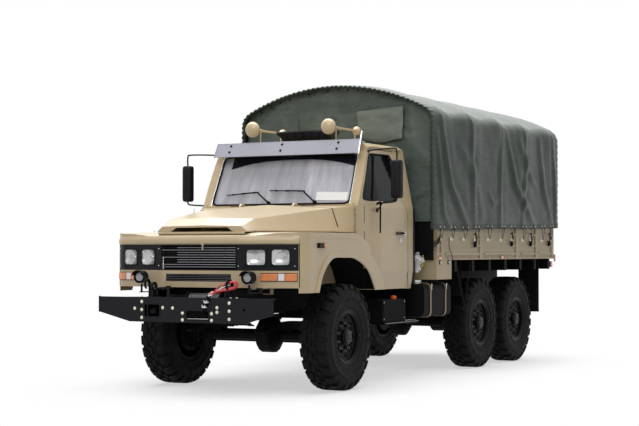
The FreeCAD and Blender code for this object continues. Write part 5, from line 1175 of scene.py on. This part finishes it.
# ---- load bed and the fittings under it ----
BED_X = 1235.0
LATCHES = ((3137, 1498, 1665), (4376, 1514, 1684), (5083, 1516, 1685), (5799, 1518, 1692))
HOOKS_Y = (2060, 2396, 2768, 3138, 3555, 3989, 4367, 4758, 5086, 5503, 5831)
LEDGES = ((2244, 3169, 1411), (3452, 4439, 1411), (4738, 5241, 1411), (5381, 5747, 1430))


def spline_length(points):
    """Length of the curve that a clamped spline of order 3 draws from its points."""
    middles = [(a + b) / 2 for a, b in zip(points[1:], points[2:-1])]
    line = []
    for start, pull, end in zip([points[0]] + middles, points[1:-1], middles + [points[-1]]):
        line += bend(start, pull, end, 12)
    return sum((b - a).length for a, b in zip(line, line[1:]))


def cable(name, drawn, width):
    """A loose cable through given points, fixed to the truck at both ends."""
    points = [P(*p) for p in drawn]
    data = bpy.data.curves.new(name, "CURVE")
    data.dimensions = "3D"
    data.bevel_depth = width / 2 * MM
    data.bevel_resolution = 3
    data.use_fill_caps = True
    spline = data.splines.new("NURBS")
    spline.points.add(len(points) - 1)
    for spot, point in zip(spline.points, points):
        spot.co = (*point, 1.0)
    spline.order_u = 3
    spline.use_endpoint_u = True
    spline.resolution_u = 8
    data.materials.append(M["matt"])
    shown(name, data, "chassis")
    spline_length(points)


for number, spread, rise in ((1, 0, 24), (2, -14, 0), (3, 12, -22)):
    cable("air_line_%d" % number,
          [(1062 + spread, 1866, 1396), (1080 + spread, 1876, 1444 + rise / 2), (1140, 1900, 1488 + rise),
           (1220, 1926, 1516 + rise), (BED_X + 24, 1966, 1546 + rise), (BED_X + 24, 2022, 1578 + rise / 2),
           (BED_X + 4, 2062, 1594 + rise / 2)], 13)
cable("loose_cord", [(1275, 2275, 1600), (1278, 2256, 1560), (1278, 2244, 1513), (1276, 2280, 1450),
                     (1274, 2349, 1395), (1268, 2380, 1350), (1246, 2396, 1314)], 8)


@piece("tan_paint", bevel=1.2)
def bed_side_details(form):
    for y, low, high in LATCHES:
        form.box((BED_X, BED_X + 9), (y - 30, y + 30), (low - 10, low + 60), "matt")
        lever = [(BED_X + 14, y, low + 4), (BED_X + 22, y, low + 60), (BED_X + 18, y, high)]
        form.tube(lever, [10, 9, 6], "matt", 10)
        form.lathe([(-26, 9), (26, 9)], (BED_X + 14, y, low + 10), REAR, "matt", 12)
        form.box((BED_X + 2, BED_X + 16), (y - 12, y + 12), (high - 26, high - 6), "matt")
    for a, b, z in LEDGES:
        form.prism([(BED_X - 1, z + 12), (BED_X + 6, z + 10), (BED_X + 12, z - 6), (BED_X + 10, z - 12),
                    (BED_X - 1, z - 10)], "Y", a, b, "tan_low")
        for y in (a + 24, (a + b) / 2, b - 24):
            form.bolt((BED_X + 9, y, z + 2), LEFT, 7, 4, "tan_low")
    for y in range(2100, 5990, 240):
        form.bolt((BED_X, y, 1362), LEFT, 8, 5, "tan_low")
    form.box((BED_X + 1, BED_X + 14), (6010, 6052), (1301, 1399), "red_lens")
    for y in (2080, 4050):
        form.box((BED_X + 1, BED_X + 8), (y - 40, y + 40), (1346, 1380), "amber")
    form.mirrored()


@piece("bare_steel", bevel=1.0)
def lacing_hooks(form):
    for y in HOOKS_Y:
        form.box((BED_X, BED_X + 4), (y - 16, y + 16), (1568, 1606), "pale")
        hook = [(BED_X + out, y, z) for out, z in ((2, 1600), (20, 1594), (24, 1576), (14, 1566))]
        form.tube(curve(hook, 5), 5, "pale", 8)
    form.mirrored()


@piece("black_paint", bevel=1.0)
def tank_details(form):
    x0, x1, z0, z1 = 560.0, 1150.0, 690.0, 1070.0          # the tank's section

    def around(y, grow):
        return round_loop(upright(x0 - grow, x1 + grow, z0 - grow, z1 + grow, y), 74)

    for y in (2000, 2430):
        edges = ((-15, 2), (-15, 9), (15, 9), (15, 2))
        form.rings([around(y + dy, grow) for dy, grow in edges], "strap", wrap=True)
        form.lathe([(-12, 6), (60, 6)], (x1 + 16, y, 1010), UP, "steel", 10)
        form.nut((x1 + 16, y, 1050), UP, 12, 12, "steel")
    form.lathe([(0, 52), (14, 52), (18, 60), (44, 60), (50, 52), (50, 0)], (1000, 1930, 1066), UP, "steel", 32)
    form.lathe([(0, 10), (8, 10), (8, 0)], (855, 2215, 688), (0, 0, -1), "steel", 12)


@piece("black_paint", bevel=1.0)
def step_details(form):
    for y in (950, 1480):
        for z in (700, 882):
            form.bolt((1060, y, z), LEFT, 9, 6, "steel")
    for i in range(9):
        form.box((1040 - 24 * i, 1050 - 24 * i), (1490, 1800), (663, 669), "steel")
    form.box((1058, 1064), (940, 1490), (664, 900), "matt")
    form.box((690, 1086), (935, 1484), (640, 658), "under")
    form.box((1083, 1090), (935, 1812), (648, 658), "rope")
    form.lathe([(0, 30), (10, 34), (30, 34), (42, 20), (44, 0)], (1010, 1300, 908), UP, "orange", 20)
    for y in (2640, 3110):
        form.tube([(1190, y, 1336), (1178, 2950, 780)], 9, "black", 8)
    form.tube([(1170, 2950, 770), (900, 2950, 800)], 12, "black", 8)
    form.mirrored()


@piece("tan_paint", bevel=1.0)
def toolbox_details(form):
    x = BED_X - 6
    for y in (2080, 2327):
        form.box((x, x + 10), (y - 22, y + 22), (1290, 1338), "matt")
        ring = [(x + 12, y - 12, 1324), (x + 22, y, 1296), (x + 12, y + 12, 1324)]
        form.tube(curve(ring, 5), 4, "steel", 8)
    for y in (1990, 2200, 2416):
        form.bolt((x, y, 1132), LEFT, 7, 4, "tan_low")
    form.mirrored()


@piece("black_plastic", smooth=60)
def bundle_behind_cab(form):
    """A bundle in clear wrap, crumpled, with a yellow strap."""
    rows = []
    for i in range(25):
        z = 1196 + 240 * i / 24
        r = 66 * sin(pi * min(1, max(0.02, i / 24))) ** 0.45 * (0.8 + 0.25 * sin(i * 0.55))
        lean = (z - 1196) * 0.16
        ring = []
        for way in (Vector((c, s, 0)) for c, s in turns(36)):
            wobble = 1 + 0.5 * noise.noise(way * 2.2 + Vector((0, 0, z * 0.02)))
            wobble += 0.25 * noise.noise(way * 6.0 + Vector((0, 0, z * 0.06)))
            ring.append((1052 + r * wobble * way.x, 1836 + lean + 0.7 * r * wobble * way.y, z))
        rows.append(ring)
    form.rings(rows, "wrap")
    form.tube(curve([(1110, 1850, 1260), (1118, 1870, 1330), (1112, 1880, 1400)], 6), 5, "yellow", 6)


@piece("red_paint", bevel=1.0)
def rear_lamp_details(form):
    for side in (1, -1):
        a, b = sorted((side * 1010, side * 1200))
        third = (b - a) / 3
        for i, finish in enumerate(("red_lens", "amber", "lamp_white")):
            j = i if side > 0 else 2 - i
            form.box((a + third * j + 3, a + third * (j + 1) - 3), (6054, 6068), (1230, 1300), finish)
        for x in (a + 10, b - 10):
            form.bolt((x, 6068, 1224), REAR, 4, 3, "chrome")
        form.lathe([(0, 34), (4, 34), (8, 30), (8, 0)], (side * 900, 6040, 1262), REAR, "red_lens", 24)
    form.box((-260, 260), (6062, 6066), (1180, 1290), "white")


@piece("tan_paint", body="tailgate", bevel=1.0)
def tailgate_details(form):
    for side in (1, -1):
        x = side * 1180
        form.box((x - 20, x + 20), (6040, 6052), (1780, 1870), "matt")
        form.tube([(x, 6060, 1790), (x, 6068, 1850), (x - side * 30, 6066, 1880)], [9, 8, 6], "matt", 8)
        form.tube([(side * 700, 6050, 1420), (side * 700, 6060, 1520)], 6, "matt", 8)
    for x in (-900, -450, 0, 450, 900):
        form.lathe([(-30, 13), (30, 13)], (x, 6036, 1358), LEFT, "matt", 14)


# ---- tarpaulin ----
COVER_HALF, COVER_FRONT, COVER_REAR = 1272.0, 1815.0, 6110.0
SHOULDER_Z, BEND, TOP_Z = 2940.0, (1165.0, 3120.0), 3404.0
BOWS = (2060.0, 2980.0, 3900.0, 4820.0, 5740.0)
HEM_FOOT = 1700.0                        # the height that lengths along the section start from
FRONT_CURTAIN_Y, REAR_CURTAIN_Y = 1938.0, 5972.0
FLAP = (((271, 3077), (871, 3118)), ((306, 2750), (859, 2742)))      # ends of its upper and lower edge, (x, z)
HEM = [(1815, 1692), (2001, 1688), (2763, 1691), (3637, 1718), (5046, 1731), (6110, 1759)]
ACROSS, ALONG = 130, 200                 # quads over half the section, and from front to rear

# Lines on the cover's side, (y, z), along which it stands out, with how far, and how wide the swell is.
FOLDS = (
    ([(2049, 2983), (2343, 2223), (2858, 1719)], 26, 60),
    ([(1955, 2801), (2105, 1884), (2288, 1712)], 20, 48),
    ([(2643, 2700), (3088, 2338), (3300, 1900)], 16, 80),
    ([(3010, 2960), (2990, 2500), (3080, 1760)], 16, 60),
    ([(3554, 2137), (3673, 2030), (3857, 2102)], 14, 40),
    ([(4050, 3012), (3921, 2463), (3900, 1760)], 20, 55),
    ([(4207, 2989), (4458, 2304), (5154, 1785)], 28, 62),
    ([(4626, 2867), (4923, 2510), (5300, 2250)], 18, 60),
    ([(4840, 3000), (4830, 2500), (4700, 1780)], 14, 50),
    ([(5420, 2940), (5520, 2300), (5850, 1800)], 16, 60),
    ([(5878, 2995), (6012, 1822)], 18, 50),
)


def section():
    """Half of the cover's section from the hem's level to the middle of the roof, as dense (x, z) points."""
    cx, cz = circle((COVER_HALF, SHOULDER_Z), (COVER_HALF - 25, SHOULDER_Z + 100), BEND)
    line = [(COVER_HALF, HEM_FOOT + 20 * i) for i in range(62)]
    line += arc((cx, cz), (COVER_HALF, SHOULDER_Z), BEND, 14)
    top = circle((-BEND[0], BEND[1]), (0, TOP_Z), BEND)
    line += arc(top, BEND, (0, TOP_Z), 60)[1:]
    return line


def circle(a, b, c):
    """The middle of the circle through three points."""
    d = 2 * (a[0] * (b[1] - c[1]) + b[0] * (c[1] - a[1]) + c[0] * (a[1] - b[1]))
    sq = [p[0] ** 2 + p[1] ** 2 for p in (a, b, c)]
    x = (sq[0] * (b[1] - c[1]) + sq[1] * (c[1] - a[1]) + sq[2] * (a[1] - b[1])) / d
    z = (sq[0] * (c[0] - b[0]) + sq[1] * (a[0] - c[0]) + sq[2] * (b[0] - a[0])) / d
    return x, z


def arc(middle, start, end, steps):
    """Points from start to end on the circle round middle."""
    r = dist(start, middle)
    a = atan2(start[1] - middle[1], start[0] - middle[0])
    b = atan2(end[1] - middle[1], end[0] - middle[0])
    return [(middle[0] + r * cos(a + (b - a) * i / steps), middle[1] + r * sin(a + (b - a) * i / steps))
            for i in range(steps + 1)]


SECTION = section()
REACH = [0.0]
for before, after in zip(SECTION, SECTION[1:]):
    REACH.append(REACH[-1] + dist(before, after))

ROOF_START = REACH[75]                   # the length at which the section bends over into the roof
FRONT_GATHER, REAR_GATHER = 150, 120     # how far the gathers run in from the two edges


def on_section(length):
    """The point at a length along the half section, and the direction away from the load."""
    length = min(max(length, 0.0), REACH[-1] - 0.01)
    low = bisect(REACH, length) - 1
    a, b = SECTION[low], SECTION[low + 1]
    t = (length - REACH[low]) / (REACH[low + 1] - REACH[low])
    run = Vector((b[0] - a[0], b[1] - a[1])).normalized()
    return Vector((a[0] + (b[0] - a[0]) * t, a[1] + (b[1] - a[1]) * t)), Vector((run.y, -run.x))


def from_line(point, line):
    """Distance from a point to a run of points, and how far along it the nearest place is."""
    best, share, gone = 1e9, 0.0, 0.0
    total = sum(dist(a, b) for a, b in zip(line, line[1:]))
    for a, b in zip(line, line[1:]):
        run = Vector(b) - Vector(a)
        t = min(1.0, max(0.0, (Vector(point) - Vector(a)).dot(run) / run.length_squared))
        near = (Vector(a) + run * t - Vector(point)).length
        if near < best:
            best, share = near, (gone + t * run.length) / total
        gone += run.length
    return best, share


SAG, ROOF_SAG = 10, 30                   # between two bows, on the side and more on the roof
BOW_RISE, BOW_WIDTH = 7, 34              # the ridge that a bow presses into the roof
RIGHT_SHIFT = 40                         # how far the right side's folds lie behind the left side's


def swell(y, height, side):
    """How far the cloth stands out from the plain section at a place on the side or roof."""
    out = 0.0
    roof = min(1.0, max(0.0, (height - 2350) / 700))          # 0 low on the side, 1 from the shoulder up
    for a, b in zip(BOWS, BOWS[1:]):
        if a < y < b:
            out -= (SAG + ROOF_SAG * roof) * sin(pi * (y - a) / (b - a)) ** 2
    for a in BOWS:
        out += BOW_RISE * roof * exp(-((y - a) / BOW_WIDTH) ** 2)
    for line, rise, width in FOLDS:
        near, share = from_line((y, height), [(a + (RIGHT_SHIFT if side < 0 else 0), z) for a, z in line])
        fade = sin(pi * min(1.0, max(0.0, 0.12 + 0.76 * share)))
        out += rise * fade * (exp(-(near / width) ** 2) - 0.35 * exp(-((near - 1.9 * width) / width) ** 2))
    soft = Vector((y * 0.0016, height * 0.0012, 3.0 * side))
    fine = Vector((y * 0.006, height * 0.0035, 9.0 * side))
    return out + 9 * noise.noise(soft) + 4.5 * noise.noise(fine)


def cover_point(y, length, side, curl=0.0):
    """A point of the cover: the plain section, swollen, and gathered at its front and rear edges."""
    flat, away = on_section(length)
    height = flat.y if flat.x > 900 else BEND[1] + (length - ROOF_START) * 0.2
    out = swell(y, height, side)
    front = max(0.0, 1 - (y - COVER_FRONT) / FRONT_GATHER)
    gather = sin(length * 0.098 + 2.2 * noise.noise(Vector((length * 0.004, side, 0))))
    out += front ** 1.5 * 9 * gather - 16 * front ** 2 - curl
    rear = max(0.0, 1 - (COVER_REAR - y) / REAR_GATHER)
    out += rear ** 1.5 * 3 * sin(length * 0.07) - 8 * rear ** 2
    place = flat + away * out
    return (side * place.x, y, place.y)


def cover_rows():
    """Rows of points from the left hem over the roof to the right hem, with both edges rolled in."""
    full = REACH[-1]
    rows = []
    edges = [(26, 34), (10, 30), (0, 20), (-6, 8)]
    stations = [(COVER_FRONT + dy, curl) for dy, curl in edges]
    stations += [(COVER_FRONT + (COVER_REAR - COVER_FRONT) * i / ALONG, 0.0) for i in range(ALONG + 1)]
    stations += [(COVER_REAR + 4 - dy, curl) for dy, curl in reversed(edges[:3])]
    for y, curl in stations:
        start = between(HEM, y) - HEM_FOOT
        row = []
        for side in (1, -1):
            spots = [start + (full - start) * i / ACROSS for i in range(ACROSS + 1)]
            half = [cover_point(y, s, side, curl) for s in spots]
            half[0] = (half[0][0], half[0][1], between(HEM, y))
            row += half if side > 0 else half[::-1][1:]
        rows.append(row)
    return rows


def cloth_piece(name, rows, finish="cover", **how):
    form = Form(name)
    form.grid(rows, finish)
    return form.make("tarpaulin", smooth=80, solid=False, **how)


def top_height(x):
    """Height of the plain section over a place across the truck."""
    x = abs(x)
    if x <= BEND[0]:
        middle = circle((-BEND[0], BEND[1]), (0, TOP_Z), BEND)
        return middle[1] + sqrt((TOP_Z - middle[1]) ** 2 - x * x)
    spot = [p for p in SECTION if p[0] <= x + 1e-6 and p[1] >= SHOULDER_Z]
    return spot[0][1] if spot else SHOULDER_Z


def curtain(name, y, low, bulge):
    """A cloth wall across the load space, laced to the first or last bow, a little slack."""
    def hung(v, u):
        u = 2 * u - 1
        x = u * (COVER_HALF - 36)
        z = low + (top_height(x) - 22 - low) * v
        fold = abs(noise.noise(Vector(((x + 0.5 * z) * 0.0034, (z - 0.4 * x) * 0.0013, y * 0.01))))
        crease = abs(noise.noise(Vector(((x - 0.9 * z) * 0.0028, z * 0.0012, 7 + y * 0.01))))
        pull = 30 * (0.25 - min(fold, 0.25)) + 24 * (0.22 - min(crease, 0.22))
        pull = -pull * 3.0 * min(1.0, (1 - abs(u)) * 6, v * 6)
        pull += 6 * noise.noise(Vector((x * 0.004, z * 0.0018, 3)))
        gather = 5 * sin(x * 0.075 + 2 * noise.noise(Vector((x * 0.003, 0, 0)))) * max(0.0, v - 0.8) * 5
        return x, y + bulge * sin(pi * v) * (1 - u * u) + pull + gather, z

    return cloth_piece(name, lattice(60, 80, hung), "curtain")


def on_flap(v, u):
    """A point of the rolled-down flap over the window in the front curtain."""
    top, low = ([a[k] * (1 - u) + b[k] * u for k in (0, 1)] for a, b in FLAP)
    x, z = (top[k] * (1 - v) + low[k] * v for k in (0, 1))
    z -= 40 * v * sin(pi * u) ** 2
    puff = 6 * min(1.0, min(u, 1 - u, v, 1 - v) * 14) + 16 * noise.noise(Vector((x * 0.006, z * 0.008, 5)))
    return x, FRONT_CURTAIN_Y - 70 - puff, z


cover = cloth_piece("cover_cloth", cover_rows(), replaces="canopy_cover")


@piece("tarpaulin", smooth=80, solid=False)
def cover_hem(form):
    """The doubled cloth along both hems."""
    for side in (1, -1):
        rows = [[], []]
        for i in range(161):
            y = COVER_FRONT + 20 + (COVER_REAR - COVER_FRONT - 30) * i / 160
            start = between(HEM, y) - HEM_FOOT
            for row, lift in zip(rows, (2.0, 62.0)):
                x = cover_point(y, max(start + lift, 0.0), side)[0]
                row.append((x + side * 2.5, y, between(HEM, y) + lift))
        form.grid(rows, "cover_edge")


@piece("black_plastic")
def cover_lacing(form):
    """Eyelets in the hem, and the rubber cord that runs from them down round the bed's hooks."""
    for y in HOOKS_Y:
        ends = []
        for dy in (-62, 62):
            hem = between(HEM, y + dy)
            x = cover_point(y + dy, max(hem + 32 - HEM_FOOT, 0.0), 1)[0] + 4
            form.lathe([(0, 13), (3, 13), (3, 7), (0, 7)], (x, y + dy, hem + 30), LEFT, "pale", 14, wrap=True)
            ends.append((x + 3, y + dy, hem + 28))
        foot = (1262, y, 1592)
        form.tube([ends[0], (1266, y - 12, 1600), foot, (1266, y + 12, 1600), ends[1]], 3.6, "cord", 6)
    form.mirrored()


front_curtain = curtain("front_curtain", FRONT_CURTAIN_Y, 1785.0, -16.0)
rear_curtain = curtain("rear_curtain", REAR_CURTAIN_Y, 1905.0, 14.0)
flap = cloth_piece("curtain_flap", lattice(24, 40, on_flap), "cover_light")


@piece("black_plastic")
def curtain_eyelets(form):
    spots = [(x, FRONT_CURTAIN_Y - 20, top_height(x) - 56) for x in range(-1040, 1100, 130)]
    spots += [(x, FRONT_CURTAIN_Y - 14, z) for z in range(1900, 2900, 170) for x in (1195, -1195)]
    for spot in spots:
        form.lathe([(0, 11), (3, 11), (3, 6), (0, 6)], spot, FRONT, "matt", 12, wrap=True)


# ---- stage and light ----
def add_area(name, place, target, size, power):
    data = bpy.data.lights.new(name, "AREA")
    data.shape = "RECTANGLE"
    data.size, data.size_y = size
    data.energy = power
    lamp = bpy.data.objects.new(name, data)
    lamp.location = place
    lamp.rotation_euler = (target - place).to_track_quat("-Z", "Y").to_euler()
    bpy.context.scene.collection.objects.link(lamp)


def white_to_the_eye(tree, surface, out, kind, shade=None):
    """Plain white where the camera, a reflection or a pane looks straight at the surface; shade darkens it."""
    path = tree.nodes.new("ShaderNodeLightPath")
    white = tree.nodes.new(kind)
    white.inputs["Color"].default_value = (1.0, 1.0, 1.0, 1.0)
    white.inputs["Strength"].default_value = 1.0
    if shade:
        tree.links.new(shade, white.inputs["Strength"])
    seen = path.outputs["Is Camera Ray"]
    for other in ("Is Transmission Ray", "Is Glossy Ray"):
        either = tree.nodes.new("ShaderNodeMath")
        either.operation = "MAXIMUM"
        tree.links.new(seen, either.inputs[0])
        tree.links.new(path.outputs[other], either.inputs[1])
        seen = either.outputs[0]
    blend = tree.nodes.new("ShaderNodeMixShader")
    for socket, output in zip(blend.inputs, (seen, surface.outputs[0], white.outputs[0])):
        tree.links.new(output, socket)
    tree.links.new(blend.outputs[0], out)


def add_world():
    world = bpy.data.worlds.new("studio")
    bpy.context.scene.world = world
    world.use_nodes = True
    tree = world.node_tree
    plain = tree.nodes["Background"]
    plain.inputs["Color"].default_value = (0.93, 0.96, 1.0, 1.0)
    plain.inputs["Strength"].default_value = 0.40
    white_to_the_eye(tree, plain, tree.nodes["World Output"].inputs["Surface"], "ShaderNodeBackground")


def add_floor():
    """A pale floor that is white away from the truck, with a soft painted shadow underneath where ambient
    occlusion darkens its white near the truck.
    """
    size = 60.0
    mesh = bpy.data.meshes.new("floor")
    mesh.from_pydata([(-size, -size, 0), (size, -size, 0), (size, size, 0), (-size, size, 0)], [], [(0, 1, 2, 3)])
    floor = bpy.data.objects.new("floor", mesh)
    bpy.context.scene.collection.objects.link(floor)
    n = Nodes("studio_floor")
    n.finish(Base_Color=n.mix(n.noise(0.6), (0.50, 0.50, 0.50), (0.54, 0.54, 0.54)), Roughness=0.9)
    # Painted shadow: the floor's white, as the camera sees it, is darkened by ambient occlusion near the truck.
    cover = n.node("AmbientOcclusion", Distance=1.6, samples=8)
    shade = n.ramp(cover.outputs["AO"], 0.55, 1.0, 0.3, 0.9)
    out = n.tree.nodes["Material Output"].inputs["Surface"]
    white_to_the_eye(n.tree, n.shader, out, "ShaderNodeEmission", shade)
    mesh.materials.append(n.material)


add_world()
add_floor()
add_area("key", P(2500, -10500, 9500), P(0, 1500, 1200), (9.0, 6.0), 600.0)
add_area("top", P(-1500, 2500, 11000), P(0, 2000, 1000), (8.0, 14.0), 1700.0)
bpy.context.scene.view_settings.view_transform = "Standard"
bpy.context.view_layer.update()
